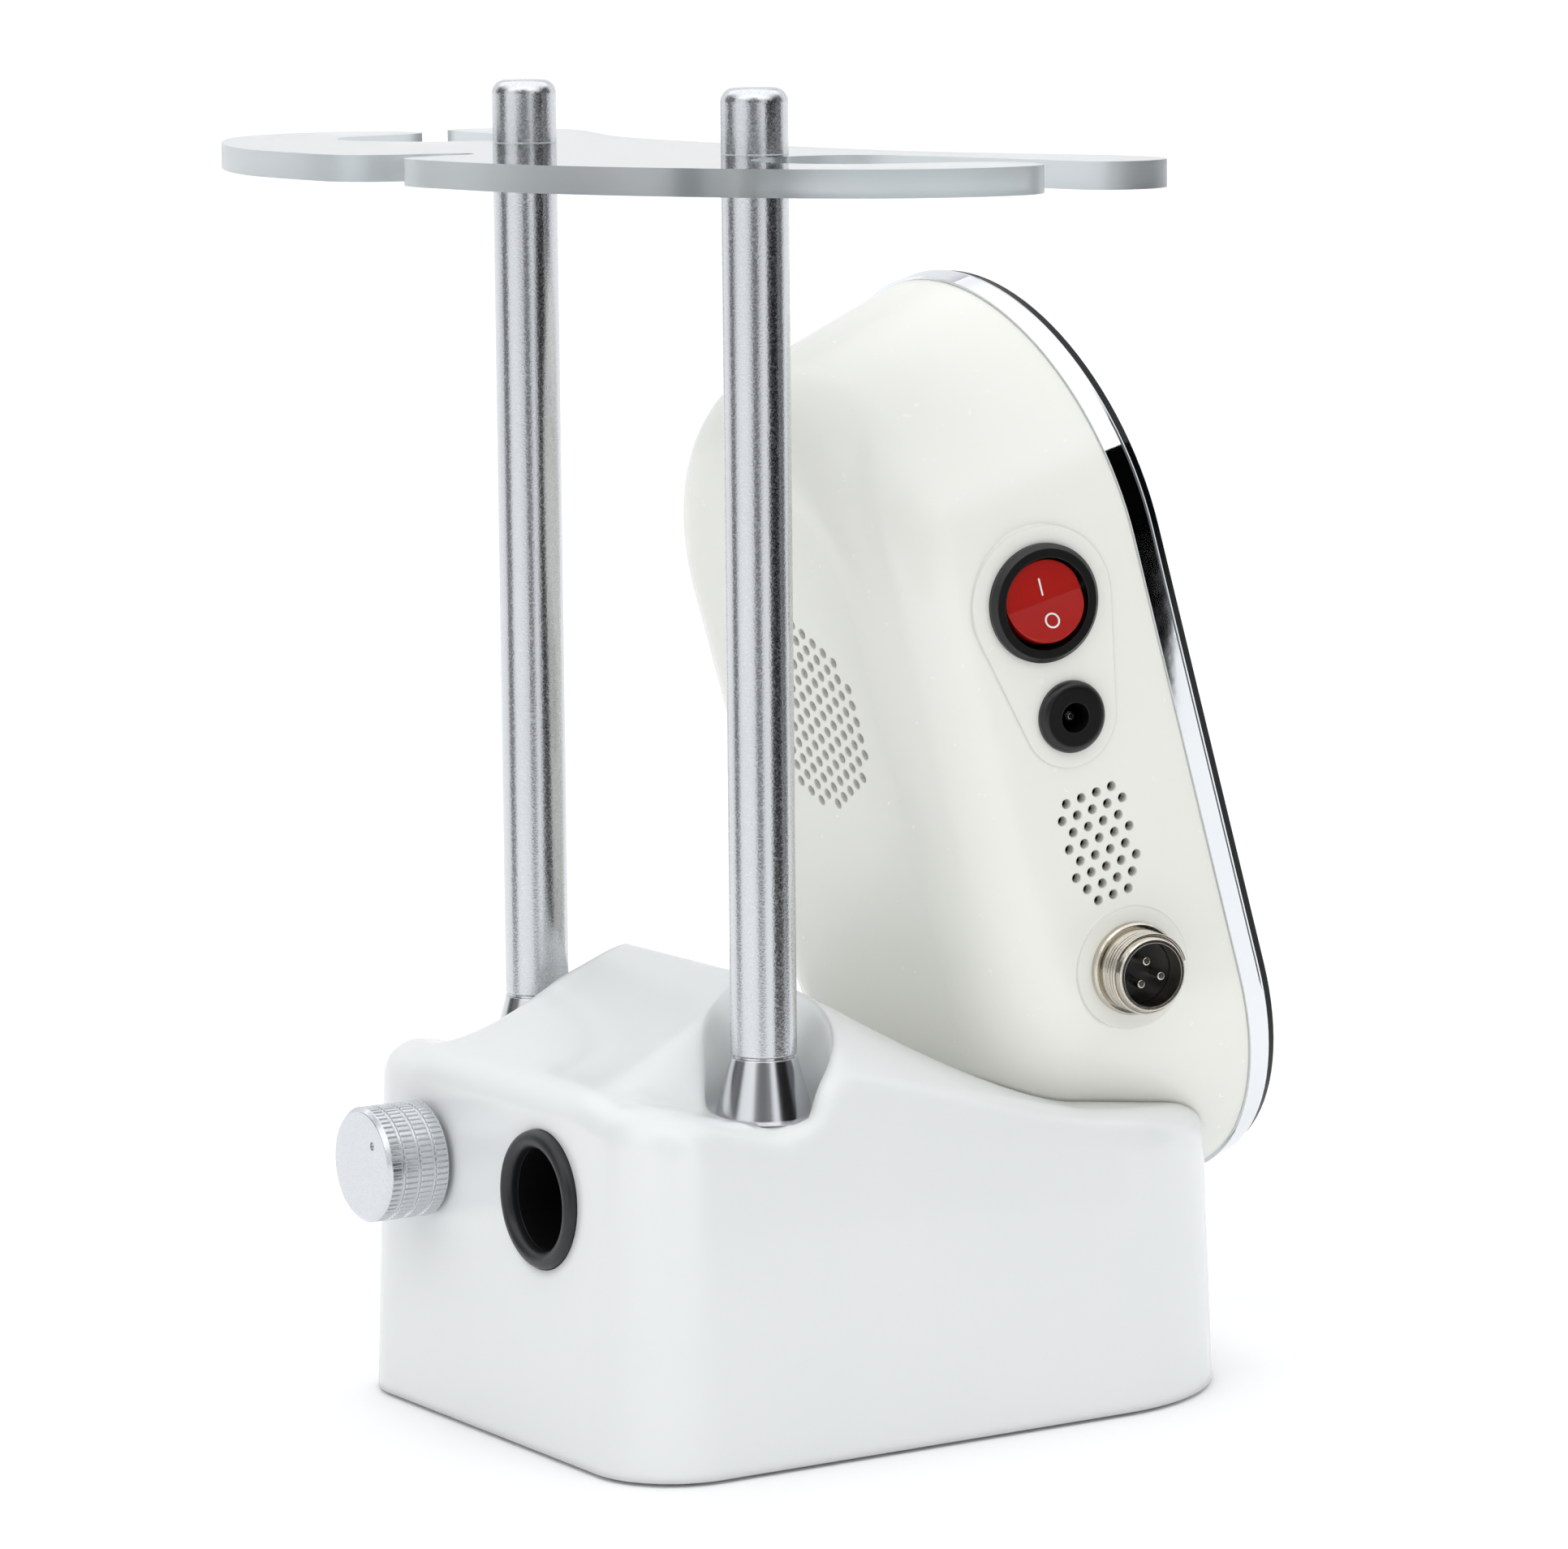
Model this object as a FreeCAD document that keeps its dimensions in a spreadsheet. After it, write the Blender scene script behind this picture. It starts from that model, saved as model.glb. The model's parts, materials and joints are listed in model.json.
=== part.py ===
import FreeCAD, Part
import Sketcher
import math
import os
import re
from FreeCAD import Placement, Rotation, Vector

# Endodontic motor: a drop-shaped control head that leans back in a weighted
# base, with two posts that carry a clear handpiece holder.
# Millimetres, +Z up, front of the unit towards -Y, origin under the middle.

DOC = FreeCAD.newDocument("endodontic_motor")
SHEET = DOC.addObject("Spreadsheet::Sheet", "dims")

SIZES = [
    # base housing
    ("base_half_width", 56.8, "half width of the base at its foot"),
    ("base_back_y", 70.2, "back wall of the base at its foot"),
    ("base_front_y", -79.2, "front wall of the base at its foot"),
    ("base_back_round", 17.0, "plan radius of the back corners"),
    ("base_front_round", 40.0, "plan radius of the front corners"),
    ("base_draft", 2.0, "draft of the walls in degrees"),
    ("base_lift", 0.6, "foot of the shell above the table"),
    ("base_wall", 3.0, "wall of the base shell"),
    ("base_edge_round", 7.0, "soft edge between wall and top"),
    ("deck_height", 67.0, "top of the deck at the posts"),
    ("deck_slope", 0.11, "fall of the deck towards the front"),
    ("ridge_rise", 22.0, "height of the backrest above the deck"),
    ("ridge_half", 29.0, "half length of the level part of the backrest"),
    ("ridge_ahead", 9.0, "backrest ahead of the posts"),
    ("ridge_back_run", 38.0, "run of the backrest down to the back"),
    ("ridge_crest", 5.0, "rounding of the backrest's crest"),
    ("ridge_back_curve", 1.5, "how fast the backrest falls to the back"),
    ("ridge_front_run", 57.0, "run of the rim down to the front"),
    ("ridge_back_half", 27.0, "half length of the backrest's full back slope"),
    ("ridge_back_fade", 13.0, "run over which that slope dies away beside the posts"),
    ("seat_dip", 2.8, "how far the deck sinks outside each post"),
    ("seat_dip_reach", 13.0, "reach of that sinking"),
    ("seat_height", 64.6, "flat seat of each ferrule"),
    ("seat_radius", 9.9, "flat seat around each ferrule"),
    ("scoop_radius", 11.2, "hollow around each ferrule at its foot"),
    ("scoop_flare", 9.0, "how far the hollow opens out upwards"),
    # bottom cover and what it carries
    ("cover_thick", 3.0, "bottom cover"),
    ("cover_gap", 0.25, "gap round the bottom cover"),
    ("foot_radius", 6.0, "rubber foot"),
    ("foot_thick", 1.4, "rubber foot"),
    ("weight_length", 62.0, "ballast plate along X"),
    ("weight_width", 52.0, "ballast plate along Y"),
    ("weight_thick", 8.0, "ballast plate"),
    ("board_rise", 6.0, "spacers of the base board"),
    ("base_board_length", 84.0, "base board along X"),
    ("base_board_width", 34.0, "base board along Y"),
    ("board_thick", 1.6, "circuit boards"),
    ("boss_radius", 4.5, "screw bosses"),
    ("screw_radius", 1.5, "shank of the small screws"),
    ("screw_clear", 0.15, "radial clearance of a screw hole"),
    ("screw_head_radius", 2.8, "pan head"),
    ("screw_head_thick", 1.7, "pan head"),
    # posts
    ("post_y", 33.8, "plane of the two posts"),
    ("post_pitch", 84.0, "distance between the posts"),
    ("post_radius", 6.25, "post tube"),
    ("post_bore", 4.6, "bore of the post tube"),
    ("ferrule_foot_radius", 9.3, "foot of the ferrule"),
    ("ferrule_height", 12.2, "ferrule"),
    ("ferrule_groove", 0.5, "shadow groove on top of the ferrule"),
    ("plate_bottom", 239.7, "underside of the holder plate"),
    ("plate_thick", 5.0, "holder plate"),
    ("cap_height", 12.2, "cap over the holder plate"),
    ("cap_round", 2.6, "rounding of the cap"),
    ("rod_radius", 3.0, "tie rod"),
    ("rod_clear", 0.3, "clearance round the tie rod"),
    ("nut_width", 10.0, "nut across flats"),
    ("nut_height", 5.0, "nut"),
    # holder plate
    ("plate_half", 124.0, "half length of the holder plate"),
    ("plate_back", 58.0, "back edge behind the posts"),
    ("plate_front", 44.0, "front edge ahead of the posts"),
    # knob and its potentiometer
    ("knob_x", 26.0, "knob centre"),
    ("knob_z", 50.0, "knob centre"),
    ("knob_radius", 11.2, "knob"),
    ("knob_length", 13.5, "knob"),
    ("knob_gap", 1.0, "gap between knob and wall"),
    ("knob_groove", 0.45, "depth of the rings round the knob"),
    ("knob_flute", 0.35, "depth of the flutes"),
    ("pot_shaft_radius", 3.0, "potentiometer shaft"),
    ("pot_shaft_fit", 0.05, "running clearance of the shaft"),
    ("pot_bush_radius", 4.5, "threaded bush"),
    ("pot_radius", 8.2, "potentiometer body"),
    ("pot_length", 9.0, "potentiometer body"),
    # rubber-ringed socket
    ("socket_x", -17.8, "socket centre"),
    ("socket_z", 48.9, "socket centre"),
    ("socket_ring_radius", 13.25, "rubber ring"),
    ("socket_mouth", 9.9, "mouth of the socket"),
    ("socket_ring_proud", 2.6, "rubber ring proud of its seat"),
    ("socket_depth", 26.0, "depth of the cup"),
    ("socket_cup_wall", 1.6, "wall of the cup"),
    ("socket_step", 7.6, "inner step of the cup"),
    # head: long round-ended front, leaning back
    ("head_lean", 16.1, "lean of the front in degrees"),
    ("head_tip_y", -91.5, "lowest point of the front"),
    ("head_tip_z", 36.1, "lowest point of the front"),
    ("head_radius", 50.0, "end radius of the front"),
    ("head_length", 191.0, "length of the front"),
    ("front_thick", 6.5, "trim and panel together"),
    ("panel_thick", 1.2, "black panel"),
    ("panel_inset", 0.9, "black panel inside the trim outline"),
    ("trim_width", 3.6, "width of the trim ring"),
    ("trim_proud", 0.6, "trim beyond the housing"),
    ("head_depth", 51.0, "depth of the housing behind the trim"),
    ("head_taper", 0.12, "taper of the sides per millimetre"),
    ("head_rise", 0.30, "rise of the lower end per millimetre"),
    ("head_drop", 0.02, "drop of the upper end per millimetre"),
    ("head_round", 19.5, "rear rounding"),
    ("head_wall", 2.5, "wall of the head"),
    ("seat_clear", 0.4, "clearance between head and base"),
    ("lug_x", 31.0, "screw lugs of the head off the middle"),
    ("lug_out", 24.0, "screw lugs beyond the arc centres"),
    ("frame_thick", 3.2, "inner frame behind the panel"),
    ("window_width", 58.0, "display window"),
    ("window_height", 78.0, "display window"),
    ("window_down", 73.0, "middle of the window below the top"),
    ("main_board_width", 52.0, "main board"),
    ("main_board_height", 112.0, "main board"),
    ("standoff_length", 9.0, "standoffs of the main board"),
    ("speaker_radius", 23.0, "loudspeaker"),
    ("speaker_thick", 13.0, "loudspeaker"),
    ("grille_radius", 20.3, "grille in the rear face"),
    ("grille_pitch", 3.4, "pitch of the grille holes"),
    ("grille_hole", 1.05, "radius of a grille hole"),
    ("grille_down", 72.5, "middle of the grille below the top"),
    # fittings on the -X side of the head
    ("side_back", 9.5, "line of the fittings ahead of the rear rounding"),
    ("pad_rise", 0.5, "flat pads round the fittings"),
    ("switch_down", 55.7, "rocker switch below the top"),
    ("switch_radius", 11.5, "bezel of the switch"),
    ("switch_proud", 2.0, "bezel of the switch"),
    ("switch_barrel", 9.9, "barrel of the switch"),
    ("switch_length", 16.0, "barrel of the switch"),
    ("rocker_radius", 8.1, "rocker"),
    ("rocker_gap", 0.5, "gap round the rocker"),
    ("rocker_tilt", 11.0, "tilt of the rocker each way in degrees"),
    ("rocker_pivot", 1.5, "pivot below the wall"),
    ("pin_radius", 0.8, "pivot pin"),
    ("jack_down", 78.9, "power jack below the top"),
    ("jack_radius", 7.0, "flange of the jack"),
    ("jack_bore", 2.95, "bore of the jack"),
    ("jack_length", 13.0, "barrel of the jack"),
    ("vent_share", 0.457, "middle of the vent between connector and jack"),
    ("vent_margin", 1.0, "plain wall round the vent"),
    ("vent_pitch", 3.4, "pitch of the vent holes"),
    ("vent_hole", 0.95, "radius of a vent hole"),
    ("plug_t", 59.9, "round connector up the head"),
    ("plug_radius", 7.95, "thread of the connector"),
    ("plug_flange", 9.1, "flange of the connector"),
    ("plug_proud", 8.0, "connector out of the wall"),
    ("plug_length", 11.0, "connector behind the wall"),
]


def fill_sheet():
    """Write every size as a plain number with its alias."""
    for row, (alias, value, note) in enumerate(SIZES, start=1):
        SHEET.set("A%d" % row, note)
        SHEET.set("B%d" % row, repr(value))
        SHEET.setAlias("B%d" % row, alias)
    DOC.recompute()


fill_sheet()
NAMES = {alias for alias, _, _ in SIZES}


def val(alias):
    return float(SHEET.get(alias))


def bound(text):
    """Turn a formula in aliases into an expression on the sheet."""
    def cell(found):
        word = found.group(0)
        return "dims." + word if word in NAMES else word

    return re.sub(r"[a-z_]+", cell, str(text))


def number(text):
    """Value of the same formula, for the starting geometry of a sketch."""
    if isinstance(text, (int, float)):
        return float(text)
    words = {alias: val(alias) for alias in re.findall(r"[a-z_]+", text)}
    return float(FreeCAD.Units.Quantity(re.sub(r"[a-z_]+", lambda m: "(%r)" % words[m.group(0)], text)))


# ---------------------------------------------------------------- places up the head

LOW = "head_radius"
HIGH = "(head_length - head_radius)"
WINDOW = "(head_length - window_down)"
GRILLE = "(head_length - grille_down)"
SWITCH = "(head_length - switch_down)"
JACK = "(head_length - jack_down)"


# ---------------------------------------------------------------- frames

def along_y(x, y, z):
    """Frame whose Z axis points backwards (+Y)."""
    return Placement(Vector(x, y, z), Rotation(Vector(1, 0, 0), -90))


def head_frame():
    """Frame in the front plane of the head: X across, Y up it, Z out of it."""
    lean = 90.0 - val("head_lean")
    return Placement(Vector(0, val("head_tip_y"), val("head_tip_z")), Rotation(Vector(1, 0, 0), lean))


def side_angle():
    return math.degrees(math.atan(val("head_taper")))


def side_half(depth):
    """Half width of the housing at a depth behind the front."""
    return val("head_radius") - val("trim_proud") - val("head_taper") * (depth - val("front_thick"))


def side_line():
    """Line of the side fittings behind the front, on the straight part of the wall."""
    return val("front_thick") + val("head_depth") - val("head_round") - val("side_back")


def side_frame(up, depth=None, out=0.0):
    """Frame on the -X wall of the head: X forward, Y up, Z out of the wall."""
    depth = side_line() if depth is None else depth
    turn = Rotation(Vector(0, 1, 0), -(90.0 + side_angle()))
    local = Placement(Vector(-side_half(depth), up, -depth), turn)
    return head_frame().multiply(local).multiply(Placement(Vector(0, 0, out), Rotation()))


# ---------------------------------------------------------------- PartDesign helpers

def new_body(label):
    body = DOC.addObject("PartDesign::Body", label)
    body.Label = label
    return body


def origin_plane(body, role):
    for feature in body.Origin.OriginFeatures:
        if feature.Role == role:
            return feature
    raise ValueError(role)


def new_sketch(body, role, offset=0):
    sketch = body.newObject("Sketcher::SketchObject", body.Label + "_sketch")
    sketch.AttachmentSupport = [(origin_plane(body, role), "")]
    sketch.MapMode = "FlatFace"
    if offset:
        sketch.setExpression(".AttachmentOffset.Base.z", bound(offset))
    return sketch


def pin_point(sketch, geo, pos, x, y):
    """Hold one vertex at bound coordinates."""
    for text, kind, axis in ((x, "DistanceX", -2), (y, "DistanceY", -1)):
        if number(text) == 0:
            sketch.addConstraint(sketcher("PointOnObject", geo, pos, axis))
            continue
        index = sketch.addConstraint(sketcher(kind, -1, 1, geo, pos, number(text)))
        sketch.setExpression("Constraints[%d]" % index, bound(text))


def sketcher(*args):
    return Sketcher.Constraint(*args)


def draw_loop(sketch, points):
    """Closed loop of straight runs; a third item gives an arc's radius to the next point."""
    flat = [Vector(number(p[0]), number(p[1]), 0) for p in points]
    count = len(points)
    ends = []
    for i, point in enumerate(points):
        a = flat[i]
        b = flat[(i + 1) % count]
        if len(point) == 3:
            radius = number(point[2])
            ends.append(add_arc(sketch, a, b, radius, point[2]))
        else:
            geo = sketch.addGeometry(Part.LineSegment(a, b), False)
            ends.append((geo, 1, 2))
    for i in range(count):
        j = (i + 1) % count
        sketch.addConstraint(sketcher("Coincident", ends[i][0], ends[i][2], ends[j][0], ends[j][1]))
    for i, point in enumerate(points):
        pin_point(sketch, ends[i][0], ends[i][1], point[0], point[1])


def add_arc(sketch, a, b, radius, text):
    """Arc from a to b; a positive radius bulges to the right of the run."""
    middle = (a + b) * 0.5
    run = b - a
    side = Vector(run.y, -run.x, 0).normalize()
    half = run.Length / 2.0
    size = abs(radius)
    sag = size - math.sqrt(max(size * size - half * half, 0.0))
    bulge = sag if radius > 0 else -sag
    arc = Part.Arc(a, middle + side * bulge, b)
    geo = sketch.addGeometry(arc, False)
    start_is_a = sketch.Geometry[geo].StartPoint.distanceToPoint(a) < 1e-6
    index = sketch.addConstraint(sketcher("Radius", geo, size))
    sketch.setExpression("Constraints[%d]" % index, bound(text).lstrip("-"))
    return (geo, 1, 2) if start_is_a else (geo, 2, 1)


def turned(label, points, place=None):
    """Body of revolution from a (radius, height) loop."""
    body = new_body(label)
    sketch = new_sketch(body, "XZ_Plane")
    draw_loop(sketch, points)
    turn = body.newObject("PartDesign::Revolution", label + "_turn")
    turn.Profile = sketch
    turn.ReferenceAxis = (sketch, ["V_Axis"])
    turn.Angle = 360.0
    DOC.recompute()
    if place is not None:
        body.Placement = place
    return body


def padded(label, loops, height, place=None, lift=0):
    """Body from one sketch of loops on XY, padded along +Z."""
    body = new_body(label)
    sketch = new_sketch(body, "XY_Plane", lift)
    for loop in loops:
        draw_loop(sketch, loop)
    pad = body.newObject("PartDesign::Pad", label + "_pad")
    pad.Profile = sketch
    pad.setExpression("Length", bound(height))
    DOC.recompute()
    if place is not None:
        body.Placement = place
    return body


def rectangle(half_x, half_y, x=0, y=0):
    """Loop of a rectangle centred on a point."""
    return [("%s - (%s)" % (x, half_x), "%s - (%s)" % (y, half_y)),
            ("%s + (%s)" % (x, half_x), "%s - (%s)" % (y, half_y)),
            ("%s + (%s)" % (x, half_x), "%s + (%s)" % (y, half_y)),
            ("%s - (%s)" % (x, half_x), "%s + (%s)" % (y, half_y))]


# ---------------------------------------------------------------- Part helpers

def cylinder(radius, height, place):
    return placed(Part.makeCylinder(radius, height), place)


def placed(shape, place):
    copy = shape.copy()
    copy.Placement = place.multiply(copy.Placement)
    return copy


def at(x, y, z):
    return Placement(Vector(x, y, z), Rotation())


def fuse_all(shapes):
    first = shapes[0]
    return first.multiFuse(shapes[1:]) if len(shapes) > 1 else first


def feature(label, shape, place=None):
    """Sub-part whose shape is made with Part's own functions."""
    obj = DOC.addObject("Part::Feature", label)
    obj.Label = label
    obj.Shape = shape
    if place is not None:
        obj.Placement = place
    return obj


def stadium(radius, low, high, z):
    """Round-ended outline in a plane at height z; arc centres at low and high."""
    a = Vector(radius, low, z)
    b = Vector(radius, high, z)
    c = Vector(-radius, high, z)
    d = Vector(-radius, low, z)
    return Part.Wire([
        Part.LineSegment(a, b).toShape(),
        Part.Arc(b, Vector(0, high + radius, z), c).toShape(),
        Part.LineSegment(c, d).toShape(),
        Part.Arc(d, Vector(0, low - radius, z), a).toShape(),
    ])


def prism(wire, height):
    return Part.Face(wire).extrude(Vector(0, 0, height))


def outline(half, front, back, r_front, r_back, z):
    """Plan outline of the base at height z."""
    k = math.sqrt(0.5)
    pts = [
        (Vector(half, front + r_front, z), Vector(half, back - r_back, z), None),
        (Vector(half, back - r_back, z), Vector(half - r_back, back, z),
         Vector(half - r_back + k * r_back, back - r_back + k * r_back, z)),
        (Vector(half - r_back, back, z), Vector(r_back - half, back, z), None),
        (Vector(r_back - half, back, z), Vector(-half, back - r_back, z),
         Vector(r_back - half - k * r_back, back - r_back + k * r_back, z)),
        (Vector(-half, back - r_back, z), Vector(-half, front + r_front, z), None),
        (Vector(-half, front + r_front, z), Vector(r_front - half, front, z),
         Vector(r_front - half - k * r_front, front + r_front - k * r_front, z)),
        (Vector(r_front - half, front, z), Vector(half - r_front, front, z), None),
        (Vector(half - r_front, front, z), Vector(half, front + r_front, z),
         Vector(half - r_front + k * r_front, front + r_front - k * r_front, z)),
    ]
    edges = []
    for start, end, mid in pts:
        if mid is None:
            edges.append(Part.LineSegment(start, end).toShape())
        else:
            edges.append(Part.Arc(start, mid, end).toShape())
    return Part.Wire(edges)


def base_outline(inset, z):
    """Outline of the drafted base wall at height z, moved in by inset."""
    in_all = inset + z * math.tan(math.radians(val("base_draft")))
    return outline(val("base_half_width") - in_all, val("base_front_y") + in_all,
                   val("base_back_y") - in_all, val("base_front_round") - in_all,
                   val("base_back_round") - in_all, z)


def base_prism(inset, low, high):
    return Part.makeLoft([base_outline(inset, low), base_outline(inset, high)], True, True)


def back_wall_y(z):
    return val("base_back_y") - z * math.tan(math.radians(val("base_draft")))


# ---------------------------------------------------------------- base shell

def deck_level(x, y):
    """Height of the deck: sloping plane plus the backrest and its falling rim."""
    plain = val("deck_height") + val("deck_slope") * (y - val("post_y"))
    ridge = val("post_y") - val("ridge_ahead")
    if y >= ridge:
        u = min(past_crest(y - ridge) / val("ridge_back_run"), 1.0)
        rise = (1.0 - u) ** val("ridge_back_curve")
    else:
        v = min(past_crest(ridge - y) / val("ridge_front_run"), 1.0)
        rise = (1.0 - v) ** 1.35
    w = max(abs(x) - val("ridge_half"), 0.0) / (val("base_half_width") - val("ridge_half"))
    side = 1.0 / (1.0 + 1.1 * w ** 2 + 3.0 * w ** 6)
    fade = min(max((abs(x) - val("ridge_back_half")) / val("ridge_back_fade"), 0.0), 1.0)
    turn = min(max((y - ridge) / (val("ridge_ahead") + 3.0), 0.0), 1.0)
    side *= 1.0 - soft_step(fade) * soft_step(turn)
    return plain + val("ridge_rise") * rise * side - outer_dip(x, y)


def past_crest(run):
    """Distance from the crest, eased so that the crest is round."""
    return run * run / (run + val("ridge_crest"))


def soft_step(t):
    """Smooth rise from 0 to 1."""
    return t * t * (3.0 - 2.0 * t)


def outer_dip(x, y):
    """Shallow sinking of the deck outside each post."""
    away = math.hypot(abs(x) - val("post_pitch") / 2.0 - 6.0, y - val("post_y") - 5.0)
    return val("seat_dip") * math.exp(-(away / val("seat_dip_reach")) ** 2)


def deck_face():
    """Smooth free-form face of the deck, wider than the base."""
    half = val("base_half_width") + 14.0
    front = val("base_front_y") - 14.0
    back = val("base_back_y") + 14.0
    n_x = 31
    n_y = 39
    rows = []
    for i in range(n_x):
        x = -half + 2.0 * half * i / (n_x - 1)
        row = []
        for j in range(n_y):
            y = front + (back - front) * j / (n_y - 1)
            row.append(Vector(x, y, deck_level(x, y)))
        rows.append(row)
    surface = Part.BSplineSurface()
    surface.interpolate(rows)
    return surface.toShape()


def under_deck(drop):
    face = deck_face()
    face.translate(Vector(0, 0, -drop))
    return face.extrude(Vector(0, 0, -160.0))


def head_solid(grow, front=None, depth=None):
    """Outer volume of the head housing in the head frame, grown all round."""
    z_front = -val("front_thick") if front is None else front
    depth = val("head_depth") if depth is None else depth
    low = val("head_radius")
    high = val("head_length") - val("head_radius")
    back = val("front_thick") + depth
    first = stadium(side_half(-z_front) + grow, low - val("head_rise") * (val("front_thick") + z_front),
                    high + val("head_drop") * (val("front_thick") + z_front), z_front)
    reach = depth + grow
    last = stadium(side_half(back + grow) + grow, low + val("head_rise") * reach,
                   high - val("head_drop") * reach, -back - grow)
    solid = Part.makeLoft([first, last], True, True)
    rim = [e for e in solid.Edges if abs(e.CenterOfMass.z + back + grow) < 1e-4]
    return solid.makeFillet(val("head_round") + grow, rim)


def post_xs():
    return (-val("post_pitch") / 2.0, val("post_pitch") / 2.0)


def scoop(x):
    """Hollow round a ferrule: flat at its seat, steep above it and opening out like a bell."""
    r0 = val("seat_radius")
    r1 = val("scoop_radius")
    z0 = val("seat_height")
    foot = z0 + r1 - r0
    mouth = foot + 22.0
    top = z0 + 60.0
    r2 = r1 + val("scoop_flare")
    edges = [
        Part.LineSegment(Vector(0, 0, z0), Vector(r0, 0, z0)).toShape(),
        Part.LineSegment(Vector(r0, 0, z0), Vector(r1, 0, foot)).toShape(),
        Part.Arc(Vector(r1, 0, foot), Vector(r1 + 0.32 * (r2 - r1), 0, foot + 14.0),
                 Vector(r2, 0, mouth)).toShape(),
        Part.LineSegment(Vector(r2, 0, mouth), Vector(r2, 0, top)).toShape(),
        Part.LineSegment(Vector(r2, 0, top), Vector(0, 0, top)).toShape(),
        Part.LineSegment(Vector(0, 0, top), Vector(0, 0, z0)).toShape(),
    ]
    ring = Part.Face(Part.Wire(edges)).revolve(Vector(0, 0, 0), Vector(0, 0, 1), 360)
    return placed(ring, at(x, val("post_y"), 0))


def cover_bosses():
    """Places of the four cover screws."""
    inset = val("base_wall") + val("boss_radius") + 4.0
    back = val("base_back_y") - inset - 4.0
    front = val("base_front_y") + val("base_front_round") - 6.0
    side = val("base_half_width") - inset
    return [(side, back), (-side, back), (side - 3.0, front), (3.0 - side, front)]


def base_board_spots():
    half_x = val("base_board_length") / 2.0 - 5.0
    half_y = val("base_board_width") / 2.0 - 5.0
    mid = base_board_mid()
    return [(sx * half_x, mid + sy * half_y) for sx in (-1, 1) for sy in (-1, 1)]


def base_board_mid():
    return val("post_y") - 14.0


def knob_wall():
    return back_wall_y(val("knob_z"))


def socket_seat():
    """Flat seat of the rubber ring, just inside the drafted wall."""
    return back_wall_y(val("socket_z") + val("socket_ring_radius")) - 0.2


def make_base_shell():
    outer = base_prism(0.0, val("base_lift"), 130.0).common(under_deck(0.0))
    rim = top_rim(outer)
    outer = outer.makeFillet(val("base_edge_round"), rim)
    head = placed(head_solid(val("seat_clear"), 20.0), head_frame())
    thick_head = placed(head_solid(val("seat_clear") + val("base_wall"), 20.0), head_frame())
    scoops = [scoop(x) for x in post_xs()]
    outer = outer.cut([head] + scoops)
    hollow = base_prism(val("base_wall"), -2.0, 130.0)
    hollow = hollow.common(under_deck(val("base_wall") + 0.8))
    keep = [thick_head]
    low = val("seat_height") - val("base_wall") - 3.0
    for x in post_xs():
        keep.append(cylinder(val("scoop_radius") + val("scoop_flare") * 0.4 + val("base_wall"), 90.0,
                             at(x, val("post_y"), low)))
    for x, y in cover_bosses():
        foot = at(x, y, val("base_lift") + 0.3 + val("cover_thick"))
        keep.append(cylinder(val("boss_radius"), 120.0, foot))
    hollow = hollow.cut(keep)
    shell = outer.cut(hollow)
    cuts = []
    for x in post_xs():
        cuts.append(cylinder(val("rod_radius") + val("rod_clear"), 60.0, at(x, val("post_y"), 30.0)))
    for x, y in cover_bosses():
        cuts.append(cylinder(val("screw_radius") + val("screw_clear"), 12.0, at(x, y, 0)))
    wall = knob_wall() - 12.0
    cuts.append(cylinder(val("pot_bush_radius") + 0.2, 30.0, along_y(val("knob_x"), wall, val("knob_z"))))
    seat = socket_seat()
    cuts.append(cylinder(val("socket_ring_radius") + 0.15, 20.0,
                         along_y(val("socket_x"), seat, val("socket_z"))))
    cuts.append(cylinder(val("socket_mouth") + val("socket_cup_wall") + 0.2, 30.0,
                         along_y(val("socket_x"), seat - 12.0, val("socket_z"))))
    return feature("base_shell", shell.cut(cuts))


def top_rim(solid):
    """Edges where the drafted walls meet the deck."""
    rim = []
    for edge in solid.Edges:
        z = edge.CenterOfMass.z
        if z < 30.0:
            continue
        flat = edge.BoundBox
        if flat.ZLength > 30.0 and flat.XLength < 4.0 and flat.YLength < 4.0:
            continue
        rim.append(edge)
    return rim



def stadium_loop(radius, low, high):
    """Sketch loop of a round-ended outline made of quarter arcs."""
    minus = "0 - (%s)" % radius
    return [(radius, low), (radius, high, radius), (0, "%s + %s" % (high, radius), radius),
            (minus, high), (minus, low, radius), (0, "%s - (%s)" % (low, radius), radius)]


def cover_loop(inset):
    """Sketch loop of the bottom cover, drawn counter-clockwise."""
    half = "base_half_width - (%s)" % inset
    back = "base_back_y - (%s)" % inset
    front = "base_front_y + %s" % inset
    r_b = "base_back_round - (%s)" % inset
    r_f = "base_front_round - (%s)" % inset
    side_f = "base_front_y + base_front_round"
    side_b = "base_back_y - base_back_round"
    mid_b = "base_half_width - base_back_round"
    mid_f = "base_half_width - base_front_round"
    return [(half, side_f), (half, side_b, r_b), (mid_b, back), ("0 - (%s)" % mid_b, back, r_b),
            ("0 - (%s)" % half, side_b), ("0 - (%s)" % half, side_f, r_f),
            ("0 - (%s)" % mid_f, front), (mid_f, front, r_f)]


def circle_sketch(body, spots, radius, lift):
    sketch = new_sketch(body, "XY_Plane", lift)
    for x, y in spots:
        geo = sketch.addGeometry(Part.Circle(Vector(x, y, 0), Vector(0, 0, 1), number(radius)), False)
        index = sketch.addConstraint(sketcher("Radius", geo, number(radius)))
        sketch.setExpression("Constraints[%d]" % index, bound(radius))
        for kind, value in (("DistanceX", x), ("DistanceY", y)):
            if abs(value) > 1e-9:
                sketch.addConstraint(sketcher(kind, -1, 1, geo, 3, value))
            else:
                axis = -2 if kind == "DistanceX" else -1
                sketch.addConstraint(sketcher("PointOnObject", geo, 3, axis))
    return sketch


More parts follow.
